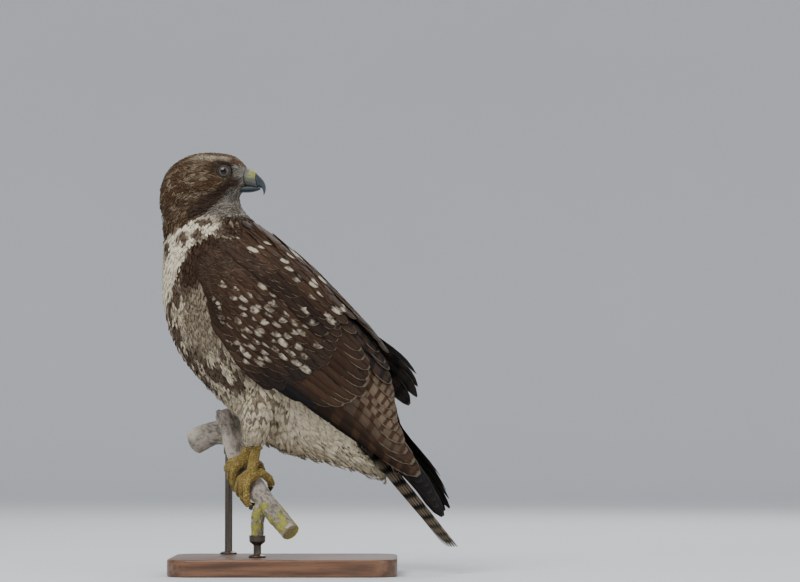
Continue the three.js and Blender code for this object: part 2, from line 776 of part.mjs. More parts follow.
// Bill, with the soft cere at its root
const upperBill = billLoft(BILL, 0, 12, 12).subtract(headClear);
const billAhead = inHead(1, 0, 0.12).sub(inHead(0, 0, 0));
const [hook, cere] = parted(upperBill, inHead(CERE_END, 0, 410), billAhead);
const nostrils = [LEFT, RIGHT].map((side) =>
  placedInHead(ellipsoid([24.4, side * 8.2, 415], [2, 1.6, 1.3], [0, 0, 0], 8)),
);
addNode("bill_upper", largest(hook), "horn");
addNode("cere", largest(cere.subtract(joined(nostrils))), "cere");
const lowerBill = billLoft(LOWER_BILL, 0, 10, 5).subtract(headClear);
addNode("bill_lower", largest(lowerBill.subtract(billLoft(BILL, SEAM, 12, 12))), "horn");

addNode("tail", tailSolid(), "tail");

const wingClear = joined([torsoClear, tailSlot, thighSolid(LEFT, SEAM), thighSolid(RIGHT, SEAM)]);
for (const [name, side] of bothSides) addNode("wing_" + name, wingSolid(side, wingClear), "wing");

for (const foot of FEET) {
  const { tarsus, toes, claws } = footSolids(foot, branchClear);
  const thigh = thighSolid(foot.side, 0).subtract(torsoClear);
  const legClear = thighSolid(foot.side, SEAM).add(torsoClear);
  addNode("thigh_" + foot.name, largest(thigh), "pale");
  addNode("tarsus_" + foot.name, largest(tarsus.subtract(legClear)), "foot");
  addNode("foot_" + foot.name, toes, "foot");
  for (const [toe, claw] of Object.entries(claws)) addNode(`claw_${foot.name}_${toe}`, claw, "horn");
}

addNode("perch_branch", largest(branchSolid(0)), "bark");
addNode("stand_base", baseSolid(), "wood");
for (const rod of RODS) addNode(rod.name, rodSolid(rod, branchClear), "rod");

export default hawk;
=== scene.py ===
"""A young red-tailed hawk on a short cut branch that a plain display stand holds.

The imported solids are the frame. One skin replaces the solids of flesh, and mesh feathers grow from it.
Tables of sections are in millimetres, as in the frame's own drawing. Everything that is built is in metres.
"""

import itertools
import math

import bmesh
import bpy
import numpy as np
from bpy.props import FloatProperty, FloatVectorProperty, IntProperty, PointerProperty
from mathutils import Matrix, Vector, noise
from mathutils.bvhtree import BVHTree


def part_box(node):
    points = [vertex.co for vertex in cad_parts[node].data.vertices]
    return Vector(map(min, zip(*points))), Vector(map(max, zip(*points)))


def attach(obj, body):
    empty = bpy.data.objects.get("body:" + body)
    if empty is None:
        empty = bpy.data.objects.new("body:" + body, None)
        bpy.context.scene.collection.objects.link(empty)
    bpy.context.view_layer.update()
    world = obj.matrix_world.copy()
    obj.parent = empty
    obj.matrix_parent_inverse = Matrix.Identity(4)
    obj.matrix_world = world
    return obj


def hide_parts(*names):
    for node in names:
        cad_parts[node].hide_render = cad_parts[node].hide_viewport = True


bl_info = {
    "name": "Perched Hawk",
    "version": (1, 0, 0),
    "blender": (4, 5, 0),
    "location": "View3D > Sidebar > Hawk",
    "description": "Builds a perched red-tailed hawk with mesh feathers over its packed solids",
    "category": "Object",
}

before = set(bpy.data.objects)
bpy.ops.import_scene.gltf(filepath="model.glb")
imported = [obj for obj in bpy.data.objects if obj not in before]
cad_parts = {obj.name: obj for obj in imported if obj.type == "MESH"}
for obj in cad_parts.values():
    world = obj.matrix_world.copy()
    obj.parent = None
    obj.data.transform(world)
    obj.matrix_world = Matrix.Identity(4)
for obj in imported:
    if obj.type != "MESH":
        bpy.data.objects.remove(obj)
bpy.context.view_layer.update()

MM = 0.001
LEFT = -1
RIGHT = 1
SIDES = {"left": LEFT, "right": RIGHT}
BODY = "root"
HEAD_AT = np.array([-57.0, -10.0, 419.0])
HEAD_TURN = math.radians(-18)
PHOTO_SCALE = 1.05  # millimetres to a pixel at the bird

# Body sections: [x and z on the breast side, x and z on the back, half width]
TORSO = [
    [-120, 396, -52, 402, 28],
    [-130, 376, -46, 389, 34],
    [-128, 358, -44, 380, 38],
    [-128, 334, -24, 362, 49],
    [-130, 304, 0, 338, 58],
    [-128, 281, 20, 314, 62],
    [-123, 257, 41, 287, 64],
    [-112, 231, 58, 260, 62],
    [-94, 207, 72, 234, 57],
    [-71, 184, 85, 210, 51],
    [-47, 160, 96, 188, 43],
    [-16, 134, 105, 169, 36],
    [21, 124, 113, 153, 29],
    [58, 115, 120, 138, 24],
    [89, 105, 126, 125, 19],
    [117, 95, 131, 109, 14],
]
# Outer surface of the folded wings, in the same form
MANTLE = [
    [-128, 358, -44, 382, 38],
    [-128, 334, -24, 364, 52],
    [-130, 304, 2, 342, 66],
    [-128, 281, 26, 322, 74],
    [-123, 257, 49, 299, 77],
    [-112, 231, 70, 277, 76],
    [-94, 207, 89, 256, 73],
    [-63, 176, 107, 232, 67],
    [-24, 148, 119, 208, 59],
    [16, 129, 126, 184, 50],
    [52, 116, 133, 156, 42],
    [84, 104, 146, 134, 36],
    [116, 82, 163, 108, 31],
    [140, 55, 175, 79, 27],
    [154, 37, 184, 58, 24],
]


# Sizes and colours that a user may change


def colour_property(name, description, default):
    return FloatVectorProperty(
        name=name,
        description=description,
        default=default,
        size=3,
        subtype="COLOR",
        min=0.0,
        max=1.0,
    )


class HAWK_PG_plumage(bpy.types.PropertyGroup):
    body_spacing: FloatProperty(
        name="Body feather spacing",
        description="Distance between neighbouring feathers on the breast and belly",
        default=0.0034,
        min=0.002,
        unit="LENGTH",
    )
    head_spacing: FloatProperty(
        name="Head feather spacing",
        description="Distance between neighbouring feathers on the face and crown",
        default=0.0023,
        min=0.0015,
        unit="LENGTH",
    )
    seed: IntProperty(name="Seed", description="Seed of every random draw", default=7, min=0)
    cream: colour_property("Cream", "Ground of the breast, flanks and undertail", (0.56, 0.48, 0.34))
    white: colour_property("White", "Brightest feathers of the breast and wing spots", (0.67, 0.595, 0.45))
    tawny: colour_property("Tawny", "Warm brown of the crown and cheeks", (0.105, 0.058, 0.026))
    brown: colour_property("Brown", "Blotches and streaks", (0.056, 0.029, 0.0155))
    chocolate: colour_property("Chocolate", "Back and shoulders", (0.0235, 0.0125, 0.0078))
    black: colour_property("Black brown", "Flight feathers and darkest coverts", (0.0085, 0.0072, 0.0072))


class HAWK_PG_bare_parts(bpy.types.PropertyGroup):
    iris: colour_property("Iris", "Colour of the iris", (0.05, 0.037, 0.026))
    bill: colour_property("Bill", "Horn of the bill", (0.026, 0.033, 0.04))
    cere: colour_property("Cere", "Soft skin at the root of the bill", (0.25, 0.255, 0.085))
    legs: colour_property("Legs", "Scales of the legs and toes", (0.37, 0.28, 0.075))
    claws: colour_property("Claws", "Horn of the claws", (0.018, 0.016, 0.016))


class HAWK_PG_stand(bpy.types.PropertyGroup):
    bark: colour_property("Bark", "Weathered bark", (0.36, 0.31, 0.26))
    wood: colour_property("Base", "Wood of the base", (0.13, 0.06, 0.03))


def plumage():
    return bpy.context.scene.hawk_plumage


def bare_parts():
    return bpy.context.scene.hawk_bare_parts


def stand_sizes():
    return bpy.context.scene.hawk_stand


# Shared maths


def table(rows):
    """A smooth table: the value of each column at any row number, on a spline."""
    rows = np.array(rows, float)
    last = len(rows) - 1

    def at(t):
        t = np.clip(np.asarray(t, float), 0, last)
        step = np.minimum(t.astype(int), last - 1)
        f = (t - step)[..., None]
        before, here = rows[np.maximum(step - 1, 0)], rows[step]
        after, beyond = rows[step + 1], rows[np.minimum(step + 2, last)]
        return 0.5 * (
            2 * here
            + (after - before) * f
            + (2 * before - 5 * here + 4 * after - beyond) * f**2
            + (3 * here - before - 3 * after + beyond) * f**3
        )

    return at


def surface(rows, fullness=0.1):
    """A point at section t and angle from the back (0) to the breast (pi), lifted along the normal."""
    section = table(rows)

    def at(t, angle, lift, side):
        bx, bz, dx, dz, width = np.moveaxis(section(t), -1, 0)
        hx, hz = (dx - bx) / 2, (dz - bz) / 2
        c, s = np.cos(angle), np.sin(angle)
        size = hx**2 + hz**2
        out = np.stack([hx * c / size, side * s / width, hz * c / size], -1)
        out /= np.linalg.norm(out, axis=-1, keepdims=True)
        sideways = side * width * s * (1 + fullness * c)
        mid = np.stack([(bx + dx) / 2 + hx * c, sideways, (bz + dz) / 2 + hz * c], -1)
        return mid + out * np.asarray(lift)[..., None]

    return at


on_mantle = surface(MANTLE)
mantle_section = table(MANTLE)
torso_section = table(TORSO)


def ease(value, low=0.0, high=1.0):
    """A smooth step from 0 at low to 1 at high."""
    f = np.clip((np.asarray(value, float) - low) / (high - low), 0, 1)
    return f * f * (3 - 2 * f)


def blend(a, b, share):
    return a + (b - a) * share


def seen_at(x, z):
    """Section and angle of the mantle where a view from the side shows the points (x, z)."""
    t = np.arange(0, len(MANTLE) - 1 + 1e-6, 0.02)
    bx, bz, dx, dz, _ = np.moveaxis(mantle_section(t), -1, 0)
    ex, ez = dx - bx, dz - bz
    px, pz = np.asarray(x, float)[..., None] - bx, np.asarray(z, float)[..., None] - bz
    along = (px * ex + pz * ez) / (ex**2 + ez**2)
    gap = np.abs(px * ez - pz * ex) / np.hypot(ex, ez)
    gap = np.where((along > -0.05) & (along < 1.05), gap, 1e9)
    best = np.argmin(gap, -1)
    share = np.take_along_axis(along, best[..., None], -1)[..., 0]
    return t[best], np.arccos(np.clip(2 * share - 1, -1, 1))


def dot(a, b):
    return np.sum(a * b, -1)


def unit(vectors):
    return vectors / np.maximum(np.linalg.norm(vectors, axis=-1, keepdims=True), 1e-9)


def head_frame(points):
    """Points in millimetres as ahead of the eyes, left of the mid-plane and height."""
    x, y = points[..., 0] - HEAD_AT[0], points[..., 1] - HEAD_AT[1]
    c, s = math.cos(HEAD_TURN), math.sin(HEAD_TURN)
    return np.stack([x * c + y * s, -x * s + y * c, points[..., 2]], -1)


def in_head(ahead, left, height):
    c, s = math.cos(HEAD_TURN), math.sin(HEAD_TURN)
    return np.array([HEAD_AT[0] + ahead * c - left * s, HEAD_AT[1] + ahead * s + left * c, height])


# Shared mesh tools


def piece_from(name, bm, material, replaces=()):
    """A finished piece from a bmesh: named, smooth, in its finish and riding on the body."""
    mesh = bpy.data.meshes.new(name)
    bm.to_mesh(mesh)
    bm.free()
    return finished(name, mesh, material, replaces)


def finished(name, mesh, material, replaces=()):
    piece = bpy.data.objects.new(name, mesh)
    bpy.context.scene.collection.objects.link(piece)
    mesh.materials.clear()
    mesh.materials.append(material)
    mesh.shade_smooth()
    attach(piece, BODY)
    if replaces:
        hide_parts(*replaces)
    return piece


def merged_copy(*nodes):
    """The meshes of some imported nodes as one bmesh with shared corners."""
    bm = bmesh.new()
    for node in nodes:
        bm.from_mesh(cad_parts[node].data)
    bmesh.ops.remove_doubles(bm, verts=bm.verts, dist=1e-5)
    return bm


def remeshed(bm, voxel, smooth=0):
    """A bmesh made again as one even closed surface."""
    mesh = bpy.data.meshes.new("remesh")
    bm.to_mesh(mesh)
    bm.free()
    work = bpy.data.objects.new("remesh", mesh)
    bpy.context.scene.collection.objects.link(work)
    modifier = work.modifiers.new("even", "REMESH")
    modifier.mode = "VOXEL"
    modifier.voxel_size = voxel
    depsgraph = bpy.context.evaluated_depsgraph_get()
    even = bpy.data.meshes.new_from_object(work.evaluated_get(depsgraph))
    bpy.data.objects.remove(work)
    result = bmesh.new()
    result.from_mesh(even)
    for _ in range(smooth):
        bmesh.ops.smooth_vert(
            result, verts=result.verts, factor=0.5, use_axis_x=True, use_axis_y=True, use_axis_z=True
        )
    return result


def vertex_array(mesh, what="co"):
    values = np.zeros(len(mesh.vertices) * 3, np.float32)
    if what == "normal":
        mesh.vertex_normals.foreach_get("vector", values)
    else:
        mesh.vertices.foreach_get("co", values)
    return values.reshape(-1, 3)


def add_attribute(mesh, name, values):
    """A value for each vertex: a colour where it has four numbers, a vector where it has three."""
    kind, key = {4: ("FLOAT_COLOR", "color"), 3: ("FLOAT_VECTOR", "vector")}[values.shape[-1]]
    attribute = mesh.attributes.new(name, kind, "POINT")
    attribute.data.foreach_set(key, np.ascontiguousarray(values, np.float32).ravel())


def opaque(colours):
    return np.concatenate([colours, np.ones(colours.shape[:-1] + (1,))], -1)


TUFT_PATCH = 0.0028  # width of a small feather's patch on the unwrap


def full_spin(bm, geometry, steps):
    """Turns a line of corners and edges once round the upright axis."""
    centre = (0, 0, 0)
    bmesh.ops.spin(
        bm, geom=geometry, axis=(0, 0, 1), cent=centre, steps=steps, angle=2 * math.pi, use_merge=True
    )


def flat_shape(rows, columns):
    """A thin closed grid that reaches from -1 to 1 both ways."""
    bm = bmesh.new()
    bmesh.ops.create_grid(bm, x_segments=rows, y_segments=columns, size=1)
    bmesh.ops.solidify(bm, geom=bm.faces, thickness=0.1)
    bmesh.ops.recalc_face_normals(bm, faces=bm.faces)
    return bm


class Leaf:
    """A closed feather shape, each corner with its share of the length and half width, and its face."""

    def __init__(self, rows, columns):
        bm = flat_shape(rows, columns)
        corners = np.array([v.co for v in bm.verts])
        self.along = (corners[:, 0] + 1) / 2
        self.across = corners[:, 1]
        middle = (corners[:, 2].max() + corners[:, 2].min()) / 2
        self.face = np.sign(corners[:, 2] - middle)
        self.faces = np.array([[v.index for v in f.verts] for f in bm.faces])
        bm.free()


def coat_piece(name, leaf, points, roots, looks, material, replaces=()):
    """Many feathers as one mesh, from their corners in metres and their roots' places on the unwrap."""
    count, corners = points.shape[:2]
    faces = (leaf.faces[None] + np.arange(count)[:, None, None] * corners).reshape(-1, 4)
    mesh = bpy.data.meshes.new(name)
    mesh.vertices.add(count * corners)
    mesh.vertices.foreach_set("co", np.ascontiguousarray(points, np.float32).ravel())
    mesh.loops.add(faces.size)
    mesh.loops.foreach_set("vertex_index", faces.ravel().astype(np.int32))
    mesh.polygons.add(len(faces))
    mesh.polygons.foreach_set("loop_start", np.arange(0, faces.size, 4, dtype=np.int32))
    mesh.update(calc_edges=True)
    mesh.validate()
    place = np.stack([leaf.across * 0.5 * TUFT_PATCH, leaf.along * TUFT_PATCH], -1)
    place = (place[None] + roots[:, None, :]).reshape(-1, 2)
    layer = mesh.uv_layers.new(name="OFBake")
    layer.data.foreach_set("uv", place[faces.ravel()].astype(np.float32).ravel())
    vane = np.zeros((count, corners, 3))
    vane[..., 0] = leaf.along
    vane[..., 1] = leaf.across
    vane[..., 2] = looks["seed"][:, None]
    add_attribute(mesh, "vane", vane.reshape(-1, 3))
    for key in ("ground", "mark", "fringe", "pattern"):
        values = looks[key]
        if values.ndim == 2:
            values = np.repeat(values[:, None], corners, 1)
        if values.shape[-1] == 3:
            values = opaque(values)
        add_attribute(mesh, key, values.reshape(-1, 4))
    return finished(name, mesh, material, replaces)


def coat_pieces(name, leaf, points, roots, looks, material, replaces=()):
    """The same, in as many meshes as keep each under 180,000 triangles."""
    limit = 180000 // (2 * len(leaf.faces))
    parts = math.ceil(len(points) / limit)
    made = []
    for i, share in enumerate(np.array_split(np.arange(len(points)), parts)):
        part = {k: v[share] for k, v in looks.items()}
        title = name if parts == 1 else f"{name}_{i + 1}"
        made.append(coat_piece(title, leaf, points[share], roots[share], part, material))
    if replaces:
        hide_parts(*replaces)
    return made


# Markings, the same on skin and feathers


def spot(points, x, z, wide, high, soft=0.35):
    """How much a point lies in an upright oval that a view from the side shows at x, z."""
    r = np.sqrt(((points[..., 0] - x) / wide) ** 2 + ((points[..., 2] - z) / high) ** 2)
    return 1 - ease(r, 1 - soft, 1 + soft)


def waves(points, size, seed):
    """Slow random waves from -1 to 1, the same for the same place."""
    rng = np.random.default_rng(seed)
    total = np.zeros(points.shape[:-1])
    for _ in range(7):
        turn = unit(rng.normal(size=3)) * rng.uniform(0.6, 1.5) * 2 * math.pi / size
        total += np.sin(points @ turn + rng.uniform(0, 7))
    return total / 3.2


def tinted(colour, to, share):
    return colour + (np.array(to)[None] - colour) * share[:, None]


def round_body(points):
    """Share of the way down the body and angle round it, 0 at the back, of points in millimetres."""
    t = np.linspace(0, len(TORSO) - 1, 61)
    rows = torso_section(t)
    middle = np.stack([(rows[:, 0] + rows[:, 2]) / 2, (rows[:, 1] + rows[:, 3]) / 2], -1)
    near = np.argmin(np.linalg.norm(points[:, None, [0, 2]] - middle[None], axis=-1), 1)
    off = points[:, [0, 2]] - middle[near]
    back = unit(rows[near][:, [2, 3]] - rows[near][:, [0, 1]])
    return near / 60, np.arctan2(points[:, 1], np.sum(off * back, -1))


def past(value, line, soft):
    """1 past a line and 0 before it, changing softly."""
    return ease(value, line - soft, line + soft)


def band_between(value, low, high, soft):
    """1 between low and high, falling off softly at both."""
    return past(value, low, soft) * (1 - past(value, high, soft))


# Lines in the side view, in millimetres: the first list goes in and the second comes out
BAND_REAR = ([150, 185, 215, 250, 300], [-38, -34, -20, 0, 10])  # height to x
BREAST_FRONT = ([230, 262, 340], [-140, -122, -112])  # height to x
COLLAR_LOW = ([-126, -114, -106, -94, -73, -52, -39], [262, 288, 318, 337, 349, 339, 341])  # x to height
COLLAR_HIGH = ([-129, -105, -82, -63, -39, -20], [341, 358, 373, 368, 344, 320])  # x to height
CROWN_LOW = ([-70, -30, 0, 20], [350, 366, 374, 372])  # ahead of the eyes to height
COLLAR_EDGE = 2.5
GREY_LORES = (0.24, 0.225, 0.19)
GREY_THROAT = (0.30, 0.28, 0.24)
# Dark blotches on the collar: x, height, half width and half height
COLLAR_BLOTCHES = [
    (-82, 362, 10, 4.5), (-104, 344, 5, 7), (-62, 350, 7, 9), (-88, 346, 6, 9), (-121, 334, 4, 9)
]


def under_marks(points, draw):
    """Ground colour and streaks of breast, belly, flanks and trousers."""
    p = plumage()
    x, y, z = points.T
    cream, brown = np.array(p.cream), np.array(p.brown)
    ground = np.tile(cream, (len(points), 1))
    ground = tinted(ground, p.white, ease(waves(points, 40, 1), -0.2, 1.0) * 0.6)
    # belly band and breast side, brown with whitish feather edges
    blotch = waves(points * np.array([1, 1, 0.5]), 15, 3)
    band = band_between(z, 178, 312, 12) * (1 - past(x, np.interp(z, *BAND_REAR), 8))
    band = band * (1 - 0.85 * (1 - past(x, np.interp(z, *BREAST_FRONT), 3)))
    ground = tinted(ground, brown, band * ease(blotch, -0.75, 0.1) * 0.93)
    fluffy = spot(points, -74, 262, 27, 36, 0.4) * ease(np.abs(y), 20, 36)
    ground = tinted(ground, blend(brown, cream, 0.30), fluffy)
    ground = tinted(ground, blend(brown, cream, 0.5), fluffy * ease(draw, 0.5, 0.9) * 0.8)
    # painted shade on the underside, darker and warmer, and tawny bars on the trousers
    # painted shade: the lower belly and trousers are tinted darker and warmer, as if in shadow under the body
    underside_painted_shade = (1 - ease(z, 168, 192)) * (1 - ease(x, 10, 60))
    ground = tinted(ground, blend(cream, brown, 0.45), underside_painted_shade * (0.3 + 0.12 * draw))
    trousers = spot(points, -14, 166, 24, 28) * ease(np.abs(y), 12, 22)
    bars = ease(np.sin(z * 0.58 + 1.6 * waves(points, 30, 5)), 0.1, 0.5) * (draw < 0.75)
    return tinted(ground, blend(brown, cream, 0.15), trousers * bars * 0.9), 0.1 * band


def upper_marks(points, draw, ground):
    """The dark shoulder, the pale collar, the back and the barred rump laid over the ground."""
    p = plumage()
    x, _, z = points.T
    cream, brown, chocolate = np.array(p.cream), np.array(p.brown), np.array(p.chocolate)
    high = past(z, np.interp(x, *COLLAR_HIGH), COLLAR_EDGE)
    above = past(z, np.interp(x, *COLLAR_LOW), COLLAR_EDGE)
    shoulder = (1 - above) * ease(z, 286, 300) * ease(x, -112, -104)
    ground = tinted(ground, blend(chocolate, brown, 0.5), shoulder)
    ground = tinted(ground, p.white, above * (1 - high) * 0.85)
    for place in COLLAR_BLOTCHES:
        ground = tinted(ground, brown, spot(points, *place, 0.2) * above * 0.92)
    run, angle = round_body(points)
    back = 1 - ease(np.degrees(np.abs(angle)), 62, 84)
    back = back * (1 - ease(z, 366, 380)) * (1 - ease(run, 0.97, 1.0))
    over = np.maximum(back, high * ease(z, 315, 330))
    ground = tinted(ground, blend(chocolate, brown, 0.6), over)
    buff = over * ease(draw, 0.72, 0.9) * ease(z, 310, 350)
    ground = tinted(ground, blend(brown, cream, 0.35), buff * 0.7)
    bars = ease(np.sin(run * 150 + 1.5 * waves(points, 25, 8)), 0.2, 0.8)
    rump = back * ease(run, 0.52, 0.62)
    return tinted(ground, blend(brown, cream, 0.55), rump * bars * 0.8)


def head_marks(points, draw, ground, streak):
    """The head's markings laid over the body's."""
    p = plumage()
    ahead, left, high = head_frame(points).T
    left = np.abs(left)
    cream, tawny = np.array(p.cream), np.array(p.tawny)
    brown, chocolate = np.array(p.brown), np.array(p.chocolate)
    crown = past(high, np.interp(ahead, *CROWN_LOW), 4)
    run = waves(points * np.array([0.5, 1.2, 1.2]), 9, 11)
    ground = tinted(ground, tawny, crown)
    ground = tinted(ground, blend(tawny, cream, 0.42), crown * ease(draw + 0.35 * run, 0.45, 0.85) * 0.85)
    ground = tinted(ground, brown, crown * ease(draw - 0.4 * run, 0.5, 0.8) * 0.6)
    # pale stripe over the brow, painted shade of the brow ridge as a dark line just over the eye, dark patch
    # behind the eye, pale lores
    side = ease(left, 8, 13)
    pale = np.exp(-(((high - 433.5) / 3.6) ** 2)) * band_between(ahead, -36, 2, 5) * side
    ground = tinted(ground, blend(cream, tawny, 0.15), pale * 0.8)
    dark = np.exp(-(((ahead + 7) / 11) ** 2) - ((high - 420.5) / 6.5) ** 2) * side
    ground = tinted(ground, chocolate, dark * 0.9)
    # painted shade: a dark line just over the eye, where the brow ridge shades it
    brow_painted_shade = np.exp(-(((high - 428.0 + 0.12 * ahead) / 3.0) ** 2)) * band_between(ahead, -12, 15, 3) * side
    ground = tinted(ground, chocolate * 0.8, brow_painted_shade * 0.95)
    ground = tinted(ground, GREY_LORES, ease(ahead, 6, 9) * band_between(high, 404.5, 426, 2) * 0.92)
    # dark band from the gape down and back
    start, way = np.array([12.0, 403.0]), np.array([-40.0, -27.0])
    to = np.stack([ahead, high], -1) - start
    share = np.clip(to @ way / (way @ way), 0, 1)
    gap = np.linalg.norm(to - share[:, None] * way, axis=-1)
    ground = tinted(ground, chocolate, (1 - ease(gap, 6, 14)) * ease(left, 7, 14) * 0.9)
    throat = ease(ahead - (high - 403) * 0.75, 2, 10) * (1 - ease(high, 400, 404)) * ease(high, 366, 374)
    ground = tinted(ground, GREY_THROAT, throat * (0.5 + 0.5 * ease(draw, 0.3, 0.7)))
    return ground, blend(streak, 0.3, crown)


def body_marks(points, draw):
    """Colours and pattern of the feathers rooted at these points, in millimetres."""
    ground, streak = under_marks(points, draw)
    ground = upper_marks(points, draw, ground)
    ground, streak = head_marks(points, draw, ground, streak)
    ground = ground * (1 + 0.12 * (draw - 0.5))[:, None]
    pattern = np.zeros((len(points), 4))
    pattern[:, 0] = np.clip(streak, 0, 0.95)
    mark = np.tile(np.array(plumage().chocolate), (len(points), 1))
    return {"ground": ground, "mark": mark, "fringe": ground, "pattern": pattern}


# Finishes


class Nodes:
    """A short way to write a material's nodes."""

    def __init__(self, name):
        self.material = bpy.data.materials.new(name)
        self.material.use_nodes = True
        self.tree = self.material.node_tree
        self.shader = self.tree.nodes["Principled BSDF"]

    def add(self, kind, inputs=(), **settings):
        node = self.tree.nodes.new(kind)
        for key, value in settings.items():
            setattr(node, key, value)
        for key, value in dict(inputs).items():
            self.set(node.inputs[key], value)
        return node

    def set(self, socket, value):
        if isinstance(value, bpy.types.NodeSocket):
            self.tree.links.new(value, socket)
        elif isinstance(value, bpy.types.Node):
            self.tree.links.new(value.outputs[0], socket)
        elif socket.type == "RGBA" and len(value) == 3:
            socket.default_value = (*value, 1)
        else:
            socket.default_value = value

    def math(self, kind, a, b=0.0):
        return self.add("ShaderNodeMath", {0: a, 1: b}, operation=kind)

    def plus(self, a, b):
        return self.math("ADD", a, b)

    def minus(self, a, b):
        return self.math("SUBTRACT", a, b)

    def times(self, a, b):
        return self.math("MULTIPLY", a, b)

    def power(self, a, b):
        return self.math("POWER", a, b)

    def vector(self, x, y, z=0.0):
        return self.add("ShaderNodeCombineXYZ", {0: x, 1: y, 2: z}).outputs[0]

    def parts(self, vector):
        return self.add("ShaderNodeSeparateXYZ", {0: vector}).outputs

    def ramp(self, value, low, high, start=0.0, end=1.0):
        """Smooth change from start to end while the value goes from low to high."""
        return self.add(
            "ShaderNodeMapRange",
            {"Value": value, "From Min": low, "From Max": high, "To Min": start, "To Max": end},
            interpolation_type="SMOOTHSTEP",
        )

    def mix(self, share, a, b, kind="MIX"):
        node = self.tree.nodes.new("ShaderNodeMix")
        node.data_type = "RGBA"
        node.blend_type = kind
        self.set(node.inputs[0], share)
        self.set(node.inputs[6], a)
        self.set(node.inputs[7], b)
        return node.outputs[2]

    def noise(self, vector, scale, detail=3.0, roughness=0.55):
        inputs = {"Vector": vector, "Scale": scale, "Detail": detail, "Roughness": roughness}
        return self.add("ShaderNodeTexNoise", inputs).outputs["Fac"]

    def place(self, scale=(1, 1, 1), turn=(0, 0, 0), shift=(0, 0, 0)):
        """Object coordinates, moved, turned and scaled."""
        source = self.add("ShaderNodeTexCoord").outputs["Object"]
        return self.add(
            "ShaderNodeMapping", {"Vector": source, "Scale": scale, "Rotation": turn, "Location": shift}
        ).outputs[0]

    def attribute(self, name):
        return self.add("ShaderNodeAttribute", attribute_name=name)

    def bump(self, height, strength, distance):
        node = self.add("ShaderNodeBump", {"Height": height, "Strength": strength, "Distance": distance})
        self.tree.links.new(node.outputs[0], self.shader.inputs["Normal"])

    def finish(self, colour, roughness, **more):
        self.set(self.shader.inputs["Base Color"], colour)
        self.set(self.shader.inputs["Roughness"], roughness)
        for key, value in more.items():
            self.set(self.shader.inputs[key.replace("_", " ").title().replace("Ior", "IOR")], value)
        return self.material


def pale_patches(m, along, across, seed, wobble):
    """Share of white in a ragged pair of patches beside the shaft, as large as the alpha says."""
    patchy = m.noise(m.vector(m.times(along, 4.0), across, m.times(seed, 47.0)), 1.7, 2.0)
    deep = m.times(m.minus(along, m.ramp(seed, 0.0, 1.0, 0.7, 0.84)), 6.5)
    wide = m.times(m.minus(m.math("ABSOLUTE", across), 0.7), 1.7)
    distance = m.plus(m.power(m.math("ABSOLUTE", deep), 3.0), m.power(m.math("ABSOLUTE", wide), 3.0))
    uneven = m.plus(m.times(m.minus(patchy, 0.5), 5.0), m.times(wobble, 2.2))
    amount = m.attribute("pattern").outputs["Alpha"]
    pale = m.ramp(m.minus(m.plus(distance, uneven), amount), -1.7, 0.9, 0.66, 0.0)
    return m.times(pale, m.ramp(amount, 0.02, 0.1))


def feather_finish():
    """Vanes: ground colour, shaft streak, bars and fringe, with barbs that run out from the shaft."""
    made = bpy.data.materials.get("feather")
    if made:
        return made
    m = Nodes("feather")
    along, across, seed = m.parts(m.attribute("vane").outputs["Vector"])
    pattern = m.add("ShaderNodeSeparateColor", {0: m.attribute("pattern").outputs["Color"]})
    streak, bars, fringe = pattern.outputs
    off = m.math("ABSOLUTE", across)
    barb_place = m.vector(m.minus(along, m.times(off, 0.35)), m.times(across, 0.12), m.times(seed, 31.0))
    barbs = m.noise(barb_place, 26.0, 2.0)
    wobble = m.times(m.minus(barbs, 0.5), 0.5)
    colour = m.attribute("ground").outputs["Color"]
    mark = m.attribute("mark").outputs["Color"]
    # streak as wide as its amount, wider towards the tip
    reach = m.times(streak, m.ramp(along, 0.0, 0.75, 0.45, 1.25))
    share = m.ramp(m.minus(m.plus(off, wobble), reach), -0.12, 0.08, 1.0, 0.0)
    colour = m.mix(m.times(share, m.ramp(streak, 0.02, 0.1)), colour, mark)
    wave = m.math("SINE", m.times(m.minus(along, m.times(off, 0.02)), m.times(bars, 100.0)))
    bar = m.times(m.ramp(m.plus(wave, wobble), 0.0, 0.7), m.ramp(bars, 0.01, 0.05))
    colour = m.mix(bar, colour, mark)
    colour = m.mix(pale_patches(m, along, across, seed, wobble), colour, plumage().white)
    edge = m.times(m.power(off, 5.0), m.ramp(along, 0.45, 0.8))
    edge = m.math("MAXIMUM", edge, m.power(along, 14.0))
    rim = m.times(m.ramp(m.plus(edge, wobble), 0.5, 0.75), fringe)
    colour = m.mix(rim, colour, m.attribute("fringe").outputs["Color"])
    # painted shade and light along the barbs, from the same noise as their bump
    shade = m.ramp(barbs, 0.3, 0.7, 0.8, 1.16)
    grey = m.add("ShaderNodeCombineColor", {0: shade, 1: shade, 2: shade})
    colour = m.mix(1.0, colour, grey, "MULTIPLY")
    m.bump(barbs, 0.35, 0.0006)
    return m.finish(colour, 0.66, specular_ior_level=0.14)


def skin_finish():
    """Down under the feathers in the same markings, with painted shade in the hollows of its fluff."""
    m = Nodes("skin")
    fluff = m.noise(m.place(), 420.0, 4.0)
    shade, ground = (m.attribute(name).outputs["Color"] for name in ("shade", "ground"))
    # painted shade: the darker copy fills the low places of the fluff's bump
    colour = m.mix(m.ramp(fluff, 0.35, 0.7), shade, ground)
    m.bump(fluff, 0.5, 0.001)
    return m.finish(colour, 0.85)


def horn_finish(name, colour, tip):
    """Polished horn with growth lines."""
    m = Nodes(name)
    lines = m.noise(m.place(scale=(1, 1, 3)), 260.0, 5.0)
    cloud = m.noise(m.place(), 55.0, 3.0)
    mixed = m.mix(m.ramp(cloud, 0.35, 0.7), colour, tip)
    m.bump(lines, 0.12, 0.0004)
    rough = m.ramp(lines, 0.3, 0.7, 0.3, 0.46)
    return m.finish(mixed, rough, specular_ior_level=0.3)


